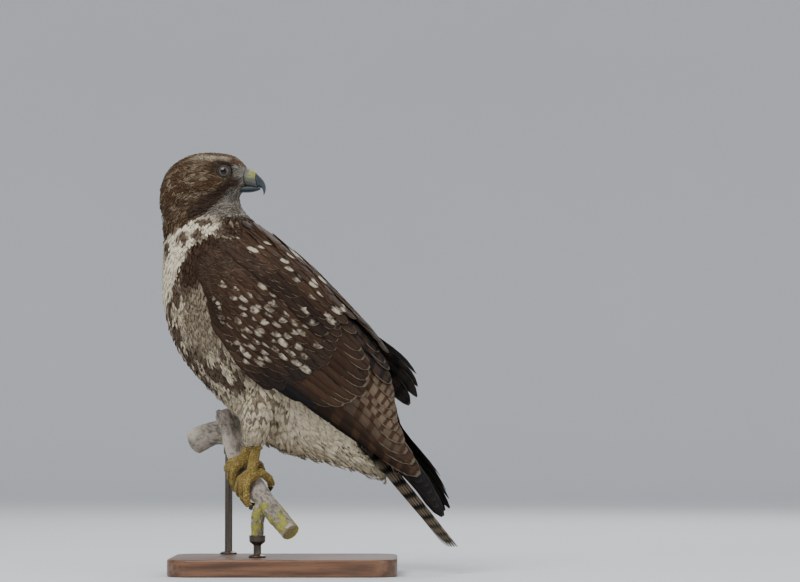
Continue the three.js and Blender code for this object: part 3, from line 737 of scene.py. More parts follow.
def cere_finish():
    m = Nodes("cere_skin")
    pores = m.noise(m.place(), 900.0, 4.0)
    cloud = m.noise(m.place(), 90.0, 3.0)
    base = bare_parts().cere
    colour = m.mix(m.ramp(cloud, 0.35, 0.7), base, [c * 0.72 for c in base])
    turned = Matrix.Rotation(-HEAD_TURN, 3, "Z") @ Vector(HEAD_AT * MM)
    place = m.parts(m.place(turn=(0, 0, -HEAD_TURN), shift=-turned))
    uneven = m.times(cloud, 0.004)
    low = m.ramp(m.plus(place[2], uneven), -0.006, -0.001, 1.0, 0.0)
    rear = m.ramp(m.plus(place[0], uneven), 0.0225, 0.0265, 1.0, 0.0)
    colour = m.mix(m.math("MAXIMUM", low, rear), colour, (0.10, 0.10, 0.085))
    m.bump(pores, 0.25, 0.0004)
    return m.finish(colour, 0.5, specular_ior_level=0.2)


def scale_finish():
    """Leg skin with overlapping scutes and small scales."""
    m = Nodes("leg_scales")
    inputs = {"Vector": m.place(scale=(1, 1, 1.5)), "Scale": 350.0}
    cells = m.add("ShaderNodeTexVoronoi", inputs, feature="DISTANCE_TO_EDGE")
    cloud = m.noise(m.place(), 120.0, 4.0)
    base = bare_parts().legs
    dull = [base[0] * 0.72, base[1] * 0.62, base[2] * 0.5]
    colour = m.mix(m.ramp(cloud, 0.35, 0.7), base, dull)
    groove = m.ramp(cells.outputs["Distance"], 0.0, 0.16, 1.0, 0.0)
    colour = m.mix(m.times(groove, 0.85), colour, [base[0] * 0.3, base[1] * 0.22, base[2] * 0.2])
    m.bump(m.ramp(cells.outputs["Distance"], 0.0, 0.2), 0.9, 0.0009)
    return m.finish(colour, 0.55, specular_ior_level=0.25)


def bark_finish():
    """Weathered grey bark with cracks along the branch, ringed cuts and yellow-green lichen."""
    m = Nodes("bark")
    base = stand_sizes().bark
    run = m.attribute("run").outputs["Vector"]
    cracks = m.noise(run, 9.0, 6.0, 0.68)
    fine = m.noise(run, 38.0, 4.0, 0.6)
    cloud = m.noise(m.place(), 34.0, 4.0)
    colour = m.mix(m.ramp(cracks, 0.36, 0.6), [c * 0.3 for c in base], base)
    colour = m.mix(m.ramp(fine, 0.55, 0.75, 0.0, 0.7), colour, [c * 0.45 for c in base])
    colour = m.mix(m.ramp(cloud, 0.45, 0.7, 0.0, 0.8), colour, [c * 1.5 for c in base])
    cut = m.parts(m.attribute("cut").outputs["Vector"])
    rings = m.math("SINE", m.times(cut[1], 5200.0))
    wood = m.mix(m.ramp(rings, -0.4, 0.8), (0.30, 0.22, 0.14), (0.46, 0.37, 0.26))
    colour = m.mix(m.ramp(cut[0], 0.6, 0.8), colour, wood)
    patch = m.noise(m.place(shift=(3.1, 0.2, 0.5)), 85.0, 6.0, 0.65)
    low = m.ramp(m.parts(m.place())[2], 0.068, 0.085, 0.14, 0.0)
    share = m.plus(patch, low)
    lichen = m.ramp(share, 0.60, 0.66)
    tint = m.mix(m.ramp(fine, 0.35, 0.65), (0.20, 0.22, 0.07), (0.42, 0.36, 0.06))
    colour = m.mix(lichen, colour, tint)
    height = m.plus(cracks, m.times(lichen, 0.35))
    height = m.plus(height, m.times(fine, 0.25))
    m.bump(height, 1.0, 0.003)
    return m.finish(colour, 0.9)


def base_finish():
    """Dark oiled wood with grain along the base."""
    m = Nodes("stand_wood")
    base = stand_sizes().wood
    rings = m.noise(m.place(scale=(0.6, 9, 9)), 18.0, 6.0, 0.6)
    pores = m.noise(m.place(scale=(4, 90, 90)), 22.0, 3.0)
    colour = m.mix(m.ramp(rings, 0.35, 0.68), [c * 0.55 for c in base], [c * 1.5 for c in base])
    colour = m.mix(m.ramp(pores, 0.62, 0.72, 0.0, 0.5), colour, [c * 0.35 for c in base])
    m.bump(pores, 0.15, 0.0003)
    rough = m.ramp(pores, 0.4, 0.7, 0.36, 0.5)
    return m.finish(colour, rough, coat_weight=0.15)


def rod_finish():
    """Dark bronzed steel with faint brushing round the rod."""
    m = Nodes("stand_metal")
    brushed = m.noise(m.place(scale=(1, 1, 14)), 160.0, 3.0)
    rough = m.ramp(brushed, 0.35, 0.65, 0.3, 0.45)
    colour = m.mix(m.ramp(brushed, 0.3, 0.7), (0.09, 0.075, 0.06), (0.13, 0.11, 0.09))
    m.bump(brushed, 0.05, 0.0002)
    return m.finish(colour, rough, metallic=1.0)


def lid_finish():
    """Dark, finely creased skin of the lids."""
    m = Nodes("lid_skin")
    creases = m.noise(m.place(), 900.0, 4.0)
    colour = m.mix(m.ramp(creases, 0.35, 0.7), (0.016, 0.013, 0.011), (0.05, 0.043, 0.035))
    m.bump(creases, 0.3, 0.0003)
    return m.finish(colour, 0.55)


def eye_finish():
    """Wet eye with a dark pupil, a brown iris with rays and a dark rim, by distance from the eye's axis."""
    m = Nodes("eye")
    disc = m.parts(m.attribute("disc").outputs["Vector"])
    r, turn = disc[0], disc[1]
    rays = m.noise(m.vector(m.times(turn, 3.0), m.times(r, 0.6)), 9.0, 4.0)
    base = bare_parts().iris
    iris = m.mix(m.ramp(rays, 0.3, 0.7), [c * 0.7 for c in base], base)
    iris = m.mix(m.ramp(r, 0.0034, 0.0042), iris, [c * 1.7 for c in base])
    iris = m.mix(m.ramp(r, 0.0045, 0.0053), iris, [c * 0.3 for c in base])
    colour = m.mix(m.ramp(r, 0.0028, 0.0031, 1.0, 0.0), iris, (0.004, 0.004, 0.004))
    colour = m.mix(m.ramp(r, 0.0054, 0.0059), colour, (0.02, 0.016, 0.013))
    return m.finish(colour, 0.05, specular_ior_level=0.35)


# Skin

FLESH = ("head", "neck", "torso", "thigh_left", "thigh_right")
SKIN = {}


def coat_depth(points):
    """How far the skin lies inside the solids, in millimetres."""
    head = head_frame(points)
    depth = blend(2.8, 1.7, ease(points[..., 2], 352, 392))
    face = ease(head[..., 0], -18, 6) * ease(points[..., 2], 372, 384)
    depth = blend(depth, 0.7, face)
    low = 1 - ease(points[..., 2], 138, 165)
    thigh = low * (1 - ease(points[..., 0], -8, 2))
    return blend(depth, 2.2, thigh)


def lie(points, normals):
    """The way that the feathers point, along the skin."""
    t = np.linspace(0, len(TORSO) - 1, 91)
    rows = torso_section(t)
    middle = np.stack([(rows[:, 0] + rows[:, 2]) / 2, (rows[:, 1] + rows[:, 3]) / 2], -1)
    run = unit(np.gradient(middle, axis=0))
    gap = np.linalg.norm(points[:, None, [0, 2]] - middle[None], axis=-1)
    near = np.exp(-((gap - gap.min(1, keepdims=True)) ** 2) / 90)
    near /= near.sum(1, keepdims=True)
    flat = near @ run
    flow = np.stack([flat[:, 0], np.zeros(len(points)), flat[:, 1]], -1)
    head = head_frame(points)
    back = -np.array([math.cos(HEAD_TURN), math.sin(HEAD_TURN), 0.0])
    droop = ease(-head[:, 0], 10, 72) * 1.5 + 0.25 * (1 - ease(head[:, 2], 400, 425))
    head_flow = unit(back[None] - np.array([0, 0, 1.0])[None] * droop[:, None])
    upper = ease(points[:, 2], 352, 392)[:, None]
    flow = blend(flow, head_flow, upper)
    aside = np.abs(points[:, 1]) > 6
    thigh = (1 - ease(points[:, 2], 175, 200)) * (1 - ease(points[:, 0], 0, 16)) * aside
    flow = blend(flow, np.array([-0.1, 0, -1.0])[None], thigh[:, None])
    flow = flow - normals * dot(flow, normals)[:, None]
    return unit(flow)


ARM_GRID = (26, 22)
ARM = {"front": 1.5, "rear": 9, "top": 9, "bottom_front": 122, "bottom_rear": 103}


def add_arm(bm, side):
    """Adds the closed mound of a folded wing's arm, which the small coverts grow from."""
    leaf = Leaf(*ARM_GRID)
    u, v = leaf.along, (leaf.across + 1) / 2
    t = blend(ARM["front"] + 0.9 * leaf.across**2, ARM["rear"] - 2.6 * v, u)
    angle = np.radians(blend(blend(ARM["bottom_front"], ARM["bottom_rear"], ease(u * 1.6)), ARM["top"], v))
    rim = np.minimum(1, 4.5 * np.minimum(v, 1 - v)) * np.minimum(1, u * 4)
    full = blend(-12, 0.6, np.sin(rim * math.pi / 2))
    lift = np.where(leaf.face > 0, np.maximum(full - 15.5 * ease(t, 4.8, 9.2), -17), -26)
    mound = flat_shape(*ARM_GRID)
    for vert, point in zip(mound.verts, on_mantle(t, angle, lift, side) * MM):
        vert.co = point
    bmesh.ops.recalc_face_normals(mound, faces=mound.faces)
    mesh = bpy.data.meshes.new("arm")
    mound.to_mesh(mesh)
    mound.free()
    bm.from_mesh(mesh)
    bpy.data.meshes.remove(mesh)


def add_brow(bm, side):
    """Adds the ridge of bone over an eye."""
    centre = Vector(in_head(-1, side * 16.2, HEAD_AT[2] + 8.6) * MM)
    shape = Matrix.Rotation(HEAD_TURN, 4, "Z") @ Matrix.Rotation(math.radians(7), 4, "Y")
    shape = Matrix.Translation(centre) @ shape @ Matrix.Diagonal((0.0125, 0.0048, 0.0034, 1))
    bmesh.ops.create_icosphere(bm, subdivisions=3, radius=1, matrix=shape)


class HAWK_OT_skin(bpy.types.Operator):
    """Makes one skin in place of the solids of flesh, a coat's depth inside them"""

    bl_idname = "hawk.skin"
    bl_label = "Skin"

    def execute(self, context):
        bm = merged_copy(*FLESH)
        for side in SIDES.values():
            add_arm(bm, side)
            add_brow(bm, side)
        bm = remeshed(bm, 0.0018, smooth=2)
        mesh = bpy.data.meshes.new("hawk_skin")
        bm.to_mesh(mesh)
        bm.free()
        points, normals = vertex_array(mesh), vertex_array(mesh, "normal")
        inner = points - normals * (coat_depth(points / MM) * MM)[:, None]
        mesh.vertices.foreach_set("co", inner.astype(np.float32).ravel())
        mesh.update()
        looks = body_marks(inner / MM, np.full(len(inner), 0.5))
        add_attribute(mesh, "ground", opaque(looks["ground"]))
        # a darker copy of the markings: painted shade for the hollows of the down
        add_attribute(mesh, "shade", opaque(looks["ground"] * 0.75))
        finished("hawk_skin", mesh, skin_finish(), FLESH)
        faces = [tuple(face.vertices) for face in mesh.polygons]
        SKIN["tree"] = BVHTree.FromPolygons([Vector(v) for v in inner], faces)
        SKIN["mesh"] = mesh
        return {"FINISHED"}


NEIGHBOURS = list(itertools.product((-1, 0, 1), repeat=3))


def crowded(i, key, found, taken, reach):
    """Whether a point already taken lies within reach of point i."""
    for step in NEIGHBOURS:
        for j in taken.get((key[0] + step[0], key[1] + step[1], key[2] + step[2]), ()):
            d = found[i] - found[j]
            if d[0] * d[0] + d[1] * d[1] + d[2] * d[2] < reach**2:
                return True
    return False


def random_places(mesh, spacing, wanted, rng):
    """Random points on a mesh, five for each one that fits, with their faces' normals, in metres."""
    mesh.calc_loop_triangles()
    corners = np.zeros(len(mesh.loop_triangles) * 3, np.int32)
    mesh.loop_triangles.foreach_get("vertices", corners)
    tri = vertex_array(mesh)[corners.reshape(-1, 3)]
    cross = np.cross(tri[:, 1] - tri[:, 0], tri[:, 2] - tri[:, 0])
    area = np.linalg.norm(cross, axis=-1) / 2
    centre = tri.mean(1) / MM
    weight = area * wanted(centre) / spacing(centre) ** 2
    draws = int(weight.sum() * 5)
    pick = rng.choice(len(area), draws, p=weight / weight.sum())
    a, b = rng.random(draws), rng.random(draws)
    flip = a + b > 1
    a[flip], b[flip] = 1 - a[flip], 1 - b[flip]
    t = tri[pick]
    found = t[:, 0] + (t[:, 1] - t[:, 0]) * a[:, None] + (t[:, 2] - t[:, 0]) * b[:, None]
    return found, unit(cross)[pick]


def scattered(mesh, spacing, wanted, rng):
    """Points spread evenly over a mesh, about spacing(points) apart, with their normals, in metres."""
    found, normals = random_places(mesh, spacing, wanted, rng)
    gap = spacing(found / MM)
    keys = np.floor(found / float(gap.max())).astype(int)
    taken, keep = {}, []
    for i, key in enumerate(map(tuple, keys)):
        if not crowded(i, key, found, taken, 0.8 * gap[i]):
            taken.setdefault(key, []).append(i)
            keep.append(i)
    return found[keep], normals[keep]


def combed(points, lengths, rows):
    """Frames along feathers that grow from these points and follow the skin: places, ways, normals."""
    tree = SKIN["tree"]
    places, ways, normals = [], [], []
    here = points.copy()
    for _ in range(rows + 1):
        found = [tree.find_nearest(Vector(p)) for p in here]
        on = np.array([f[0] for f in found])
        normal = np.array([f[1] for f in found])
        if normals:
            normal = unit(blend(normals[-1], normal, 0.5))
        way = lie(on / MM, normal)
        if ways:
            way = unit(blend(ways[-1], way, 0.35))
            way = unit(way - normal * dot(way, normal)[:, None])
        places.append(on)
        ways.append(way)
        normals.append(normal)
        here = on + way * (lengths / rows)[:, None]
    return np.stack(places, 1), np.stack(ways, 1), np.stack(normals, 1)


def shown_part(frames):
    """The part of each feather that the ones before it leave in sight, in millimetres."""
    places = frames[0]
    return (places[:, -1] * 0.85 + places[:, -2] * 0.15) / MM


def body_vanes(leaf, rows, frames, lengths, widths, tips, curl, rng):
    """Corner places of small feathers on their frames. tips: how far each tip stands off the skin."""
    places, ways, normals = frames
    points = places[:, 0]
    row = np.rint(leaf.along * rows).astype(int)
    sideways = np.cross(normals, ways)
    along = leaf.along[None]
    outline = blend(0.5, 1.0, ease(along, 0, 0.4)) * blend(1.0, 0.5, ease(along, 0.6, 1.0))
    ragged = rng.uniform(-0.2, 0.04, (len(points), len(leaf.along))) - 0.12 * np.abs(leaf.across[None]) ** 2
    ragged[:, leaf.along < 0.99] *= 0.2
    # the corners of the two faces at one place share their raggedness
    top = {}
    for i, key in enumerate(zip(np.round(leaf.along, 3), np.round(leaf.across, 3))):
        if key in top:
            ragged[:, i] = ragged[:, top[key]]
        top.setdefault(key, i)
    half = (widths / 2)[:, None] * outline * leaf.across[None]
    high = blend(-0.0002, tips[:, None], along**0.8) - (leaf.across[None] ** 2) * (widths * 0.12)[:, None]
    high = high + curl[:, None] * along**2 + leaf.face[None] * 0.00012
    centre = places[:, row] + ways[:, row] * (ragged * lengths[:, None])[..., None]
    twist = rng.normal(0, 0.16, len(points))[:, None] * lengths[:, None] * along**1.5
    return centre + sideways[:, row] * (half + twist)[..., None] + normals[:, row] * high[..., None]


def body_unwrap(points):
    """Roots on an unwrap of the body: round its long axis, and along it."""
    run, angle = round_body(points)
    tall = np.where(points[:, 2] > 385, 0.72 + (points[:, 2] - 385) / 62 * 0.27, 0.01 + run * 0.7)
    return np.stack([0.01 + 0.97 * (angle + math.pi) / (2 * math.pi), tall], -1)


HEAD_LINE = 372  # height above which the feathers are the head's


class HAWK_OT_body_coat(bpy.types.Operator):
    """Covers breast, belly, back, neck and thighs with feathers"""

    bl_idname = "hawk.body_coat"
    bl_label = "Body feathers"

    def execute(self, context):
        rng = np.random.default_rng(plumage().seed)
        gap = plumage().body_spacing

        def spacing(p):
            small = ease(p[:, 2], 330, HEAD_LINE)
            thigh = 1 - ease(p[:, 2], 135, 165)
            return gap * blend(1.0, 0.75, np.maximum(small, thigh))

        def wanted(p):
            return (p[:, 2] < HEAD_LINE + 3) & ~under_wing(p)

        points, facing = scattered(SKIN["mesh"], spacing, wanted, rng)
        p = points / MM
        size = spacing(p)
        hem = (1 - ease(p[:, 2], 136, 160)) * (p[:, 0] < 0) + ease(p[:, 0], 96, 112)
        long = size * rng.uniform(3.9, 5.6, len(p)) * (1 + 0.5 * hem)
        wide = size * rng.uniform(1.2, 1.9, len(p))
        depth = coat_depth(p) * MM
        tips = depth * rng.uniform(0.8, 1.12, len(p))
        rows = 3
        leaf = Leaf(rows, 4)
        curl = depth * rng.uniform(-0.1, 0.4, len(p)) * (rng.random(len(p)) < 0.1)
        under = ease(-facing[:, 2], 0.25, 0.75) * ease(p[:, 0], -34, -14) * (1 - ease(p[:, 2], 176, 192))
        loose = under * rng.random(len(p)) ** 3
        long = long * (1 + 0.7 * loose)
        tips = tips + 0.0055 * loose
        frames = combed(points, long, rows)
        looks = body_marks(shown_part(frames), rng.random(len(p)))
        looks["seed"] = rng.random(len(p))
        corners = body_vanes(leaf, rows, frames, long, wide, tips, curl, rng)
        coat_pieces("body_feathers", leaf, corners, body_unwrap(p), looks, feather_finish())
        return {"FINISHED"}


def under_wing(p):
    """Places on the body that the folded wings hide."""
    t, angle = seen_at(p[:, 0], p[:, 2])
    reach = np.interp(t, [2, 3, 4.5, 7, 9, 11, 13], [0, 80, 108, 104, 96, 70, 30])
    hidden = (np.degrees(angle) < reach - 24) & (np.degrees(angle) > 16) & (np.abs(p[:, 1]) > 10)
    bare = spot(p, -76, 262, 26, 34) < 0.3
    return hidden & bare & (p[:, 2] < 345) & (p[:, 2] > 110)


class HAWK_OT_head_coat(bpy.types.Operator):
    """Covers head and upper neck with small feathers, the smallest on the face"""

    bl_idname = "hawk.head_coat"
    bl_label = "Head feathers"

    def execute(self, context):
        rng = np.random.default_rng(plumage().seed + 1)
        gap = plumage().head_spacing

        def spacing(p):
            head = head_frame(p)
            face = ease(head[:, 0], -26, 8)
            return gap * blend(1.0, 0.62, face)

        def wanted(p):
            head = head_frame(p)
            eye = np.hypot(head[:, 0] - 1, head[:, 2] - HEAD_AT[2]) < 6.8
            eye &= np.abs(head[:, 1]) > 12
            return (p[:, 2] >= HEAD_LINE - 3) & ~eye & (head[:, 0] < 18)

        points, _ = scattered(SKIN["mesh"], spacing, wanted, rng)
        p = points / MM
        size = spacing(p)
        nape = ease(-head_frame(p)[:, 0], 56, 70)
        long = size * rng.uniform(3.2, 4.8, len(p)) * (1 + 0.45 * nape)
        wide = size * rng.uniform(0.9, 1.3, len(p))
        tips = coat_depth(p) * MM * rng.uniform(0.7, 1.15, len(p))
        curl = nape * 0.0012 * (rng.random(len(p)) < 0.3)
        rows = 3
        leaf = Leaf(rows, 2)
        frames = combed(points, long, rows)
        looks = body_marks(shown_part(frames), rng.random(len(p)))
        looks["seed"] = rng.random(len(p))
        corners = body_vanes(leaf, rows, frames, long, wide, tips, curl, rng)
        coat_pieces("head_feathers", leaf, corners, body_unwrap(p), looks, feather_finish())
        return {"FINISHED"}


# Wings

# Tiers of the folded wing, from the lowest vane to the highest. Roots and tips run along bent lines in the
# side view; height over the mantle goes from deep to top between two sections.
TIERS = {
    "primaries": {
        "count": 8, "roots": [[10, 192], [28, 203], [44, 213]], "tips": [[168, 64], [153, 88], [133, 116]],
        "width": 19, "deep": -9.3, "top": -2, "from": 10, "to": 14, "stack": 0.6, "lean": 0.04,
    },
    "secondaries": {
        "count": 8, "roots": [[-4, 214], [20, 238], [40, 266]], "tips": [[143, 104], [123, 146], [116, 186]],
        "width": 26, "deep": -4.6, "top": -2, "from": 7.5, "to": 10.5, "stack": 0.5, "lean": 0.09,
    },
    "tertials": {
        "count": 4, "roots": [[36, 272], [42, 282], [46, 292]], "tips": [[114, 203], [110, 217], [102, 233]],
        "width": 26, "deep": -3.4, "top": -1.5, "from": 6.5, "to": 9, "stack": 0, "lean": 0.12,
    },
    "greater_coverts": {
        "count": 13, "roots": [[-34, 222], [0, 256], [24, 298]], "tips": [[24, 180], [84, 188], [76, 250]],
        "width": 21, "deep": -2, "top": -0.5, "from": 5, "to": 8, "stack": 0, "lean": 0.1,
    },
}


def add_rows(name, rows, count, first, last, width, top, lengths=(46, 34)):
    """Rows of short feathers from a first to a last row, each half a feather aside of the one below."""
    for i in range(rows):
        share = i / (rows - 1)
        tips = blend(np.array(last, float), np.array(first, float), share)
        lean = tips[2] - tips[0]
        tips = tips + lean * (0.5 / count) * (i % 2)
        way = np.array([0.74, -0.67]) if name == "coverts" else np.array([0.72, -0.69])
        TIERS[f"{name}_{i + 1}"] = {
            "count": count, "roots": tips - way * blend(*lengths, share), "tips": tips, "width": width,
            "deep": top - 2.2, "top": top + 1.6 * share, "from": 0, "to": 2.5, "stack": 0, "lean": 0.1,
            "hugs": (-10, 0) if name.startswith("coverts") else (22, 62),
        }


TIERS["middle_back"] = {
    "count": 24, "roots": [[0.9, 0], [3.2, 0], [5.6, 0]], "tips": [[2.4, 0], [4.9, 0], [7.2, 0]],
    "middle": True, "width": 22, "deep": 2.0, "top": 2.4, "from": 0, "to": 2, "stack": 0, "lean": 0,
}
add_rows(
    "coverts", 10, 13, [[-50, 238], [-54, 286], [-44, 322]], [[-8, 190], [46, 218], [58, 264]], 15, 0.2
)
add_rows(
    "scapulars", 10, 7, [[-34, 322], [-22, 332], [-8, 342]], [[44, 250], [66, 262], [84, 268]], 18, 1.6
)
add_rows(
    "coverts_small", 6, 15, [[-70, 292], [-82, 314], [-68, 340]], [[-54, 254], [-58, 288], [-46, 324]],
    11, 1.9, (26, 13),
)
add_rows(
    "scapulars_small", 5, 8, [[-60, 340], [-50, 352], [-38, 360]], [[-36, 322], [-24, 332], [-10, 342]],
    12, 2.4, (28, 13),
)
# The far wing hangs looser
LOOSE = {
    "tertials": {"tips": [[121, 170], [125, 183], [121, 202]], "rise": 20},
    "primaries": {"tips": [[170, 66], [172, 84], [160, 111]], "rise": 3},
}


def bent_line(points, share):
    """Points along a bent line of three given points."""
    a, b, c = (np.array(p, float) for p in points)
    f = np.asarray(share)[:, None]
    return (1 - f) ** 2 * a + 2 * f * (1 - f) * (2 * b - (a + c) / 2) + f**2 * c


def vane_outline(a):
    root = blend(0.45, 1, ease(a, 0, 0.3))
    tip = np.where(a < 0.8, 1, np.sqrt(np.clip(1 - ((a - 0.8) / 0.205) ** 2, 0.02, 1)))
    return root * tip


def arm_slope(t, angle):
    """How far the surface of the arm falls towards its front and lower edges, in millimetres."""
    v = np.clip((112 - np.degrees(angle)) / 103, 0, 1)
    front = ARM["front"] + 0.9 * (2 * v - 1) ** 2
    u = np.clip((t - front) / (ARM["rear"] - 2.6 * v - front), 0, 1)
    rim = np.minimum(1, 4.5 * v) * np.minimum(1, u * 4)
    return 9 * (np.sin(rim * math.pi / 2) - 1) * (1 - ease(t, 4.2, 6.2))


def mantle_vanes(leaf, roots, tips, form, side, rng):
    """Corner places of large feathers that lie on the mantle from roots to tips, given in the side view."""
    count = len(roots)
    if form.get("middle"):
        rt, ra, tt, ta = *roots.T, *tips.T
    else:
        rt, ra = seen_at(*roots.T)
        tt, ta = seen_at(*tips.T)
    a = leaf.along[None] * 0.45 + np.sin(leaf.along[None] * math.pi / 2) * 0.55
    across = -leaf.across[None]
    half = form["width"] / 2 * vane_outline(a) * rng.uniform(0.94, 1.06, (count, 1))
    t = blend(rt[:, None], tt[:, None], a)
    least = -1 if form.get("middle") else (half - 4.5) / mantle_section(t)[..., 4]
    angle = np.maximum(blend(ra[:, None], ta[:, None], a), least)
    base = blend(form["deep"], form["top"], ease(t, form["from"], form["to"]))
    if form.get("middle"):
        base = base - 4 * (1 - a) ** 2
    sunk = (np.arange(count) * -form["stack"] + form["stack"] * (count - 1))[:, None]
    lift = base - sunk + form.get("rise", 0) * ease(a) ** 2
    if form.get("hugs"):
        low, high = form["hugs"]
        lift = lift + arm_slope(t, angle) * ease(np.degrees(angle), low, high)
    nudge = 0.01
    on_t = (on_mantle(t + nudge, angle, lift, side) - on_mantle(t - nudge, angle, lift, side)) / (2 * nudge)
    on_a = (on_mantle(t, angle + nudge, lift, side) - on_mantle(t, angle - nudge, lift, side)) / (2 * nudge)
    along = unit(on_t * (tt - rt)[:, None, None] + on_a * (ta - ra)[:, None, None])
    normal = unit(np.cross(on_t, on_a))
    sideways = np.cross(normal, along)
    sideways *= -np.sign(dot(sideways, on_a))[..., None]
    det = dot(on_t, on_t) * dot(on_a, on_a) - dot(on_t, on_a) ** 2
    st, sa = dot(on_t, sideways), dot(on_a, sideways)
    reach = half * across
    dt = (st * dot(on_a, on_a) - sa * dot(on_t, on_a)) / det * reach
    da = (sa * dot(on_t, on_t) - st * dot(on_t, on_a)) / det * reach
    thick = leaf.face[None] * blend(0.12, 0.24, 1 - np.abs(across))
    return on_mantle(t + dt, angle + da, lift - form["lean"] * reach + thick, side) * MM


SCAPULAR_MARKS = [(-16, 336), (12, 321), (42, 295), (63, 276)]  # large pale marks, x and height


def wing_looks(tier, tips, side, rng):
    """Colours of the vanes of one tier, by where their tips lie."""
    p = plumage()
    n = len(tips)
    x, z = tips[:, 0], tips[:, 1]
    cream, white, brown = np.array(p.cream), np.array(p.white), np.array(p.brown)
    chocolate, black = np.array(p.chocolate), np.array(p.black)
    draw = rng.random(n)
    ground = np.tile(chocolate, (n, 1))
    mark = np.tile(black, (n, 1))
    fringe = np.tile(blend(brown, cream, 0.3), (n, 1))
    streak, bars, rim = np.full(n, 0.1), np.zeros(n), np.full(n, 0.75)
    pale_spot = np.zeros(n)
    if tier == "primaries":
        ground, rim = np.tile(black, (n, 1)), np.full(n, 0.1)
    if tier == "secondaries":
        ground, bars = np.tile(blend(brown, cream, 0.11), (n, 1)), np.full(n, 0.5)
        mark = np.tile(blend(chocolate, brown, 0.8), (n, 1))
        ground = tinted(ground, chocolate, 1 - ease(z, 110, 150))
    if tier == "tertials":
        ground, bars = np.tile(blend(black, brown, 0.5), (n, 1)), np.full(n, 0.36)
        if side == RIGHT:
            ground = np.tile(blend(black, brown, 0.3) * 1.3, (n, 1))
            fringe = np.tile(blend(black, white, 0.2), (n, 1))
    if tier == "greater_coverts":
        low = 1 - ease(x, 40, 66)
        ground = tinted(np.tile(blend(brown, chocolate, 0.3), (n, 1)), black, low)
        rim = blend(0.85, 0.1, low)
    if tier.startswith("coverts"):
        middle = np.exp(-(((x + 6) / 58) ** 2) - ((z - 252) / 40) ** 2)
        pale_spot = (draw < 1.25 * middle - 0.06) * rng.uniform(0.05, 0.9, n)
        dark = 1 - ease(z - 0.35 * x, 186, 222)
        ground = tinted(np.tile(blend(brown, chocolate, 0.45), (n, 1)), black, dark * 0.8)
        rim = rim * (1 - 0.8 * dark)
    if tier == "middle_back":
        ground, rim = np.tile(blend(chocolate, brown, 0.5), (n, 1)), np.full(n, 0.5)
        x, z = np.full(n, 20.0), np.full(n, 300.0)
    if tier.startswith("scapulars"):
        pale_spot = (draw < 0.3 * ease(290 - z, 0, 30) + 0.04) * rng.uniform(0.1, 0.9, n)
        for bx, bz in SCAPULAR_MARKS:
            pale_spot = np.maximum(pale_spot, 1.4 * (np.hypot(x - bx, z - bz) < 8))
        ground = tinted(np.tile(chocolate, (n, 1)), brown, ease(z + 0.7 * x, 288, 320) * 0.7)
    cloud = 1 + 0.25 * waves(np.stack([x, x * 0, z], -1), 60, 31)
    ground = ground * rng.uniform(0.75, 1.25, (n, 1)) * cloud[:, None]
    looks = {"ground": ground, "mark": mark, "fringe": fringe}
    looks["pattern"] = np.stack([streak, bars, rim, pale_spot], -1)
    looks["seed"] = rng.random(n)
    return looks


class HAWK_OT_wings(bpy.types.Operator):
    """Lays the flight feathers, coverts and scapulars of both folded wings"""

    bl_idname = "hawk.wings"
    bl_label = "Wings"

    def execute(self, context):
        leaf = Leaf(10, 4)
        for name, side in SIDES.items():
            rng = np.random.default_rng(plumage().seed + 20 + side)
            corners, looks, roots_uv = [], [], []
            for tier, form in TIERS.items():
                form = dict(form)
                if form.get("middle") and side == RIGHT:
                    continue
                if side == RIGHT:
                    form.update(LOOSE.get(tier, {}))
                share = np.linspace(0, 1, form["count"])
                jitter = 0.05 if form.get("middle") else 1.4
                roots = bent_line(form["roots"], share) + rng.normal(0, jitter, (form["count"], 2))
                tips = bent_line(form["tips"], share) + rng.normal(0, jitter, (form["count"], 2))
                if form.get("middle"):
                    aside = 0.13 * (-1.0) ** np.arange(form["count"])
                    roots[:, 1] += aside
                    tips[:, 1] += 1.2 * aside
                corners.append(mantle_vanes(leaf, roots, tips, form, side, rng))
                looks.append(wing_looks(tier, tips, side, rng))
                t, angle = roots[:, 0], np.abs(roots[:, 1])
                if not form.get("middle"):
                    t, angle = seen_at(*roots.T)
                roots_uv.append(np.stack([0.02 + angle / math.pi * 0.95, 0.02 + t / 15], -1))
            all_looks = {k: np.concatenate([one[k] for one in looks]) for k in looks[0]}
            coat_pieces(
                f"wing_feathers_{name}", leaf, np.concatenate(corners), np.concatenate(roots_uv),
                all_looks, feather_finish(), (f"wing_{name}",),
            )
        return {"FINISHED"}


# Tail

TAIL_ROOT = (56.0, 160.0)
TAIL_TIP = (174.0, 23.0)
TAIL_PAIRS = 6
TAIL_FORM = {"height": (16, 9), "width": (21, 31), "drop": 1.0, "half": 17, "pitch": 11}


def on_tail(a, angle, lift):
    """A point on the low roof of the tail at share a of its length."""
    along = np.array([TAIL_TIP[0] - TAIL_ROOT[0], 0, TAIL_TIP[1] - TAIL_ROOT[1]])
    along /= np.linalg.norm(along)
    up = np.array([-along[2], 0, along[0]])
    high = blend(*TAIL_FORM["height"], a) + lift
    wide = blend(*TAIL_FORM["width"], ease(a, 0, 0.45)) + lift
    x, z = blend(TAIL_ROOT[0], TAIL_TIP[0], a), blend(TAIL_ROOT[1], TAIL_TIP[1], a)
    line = np.stack([x, wide * np.sin(angle), z], -1)
    return line + up * (high * np.cos(angle))[..., None]


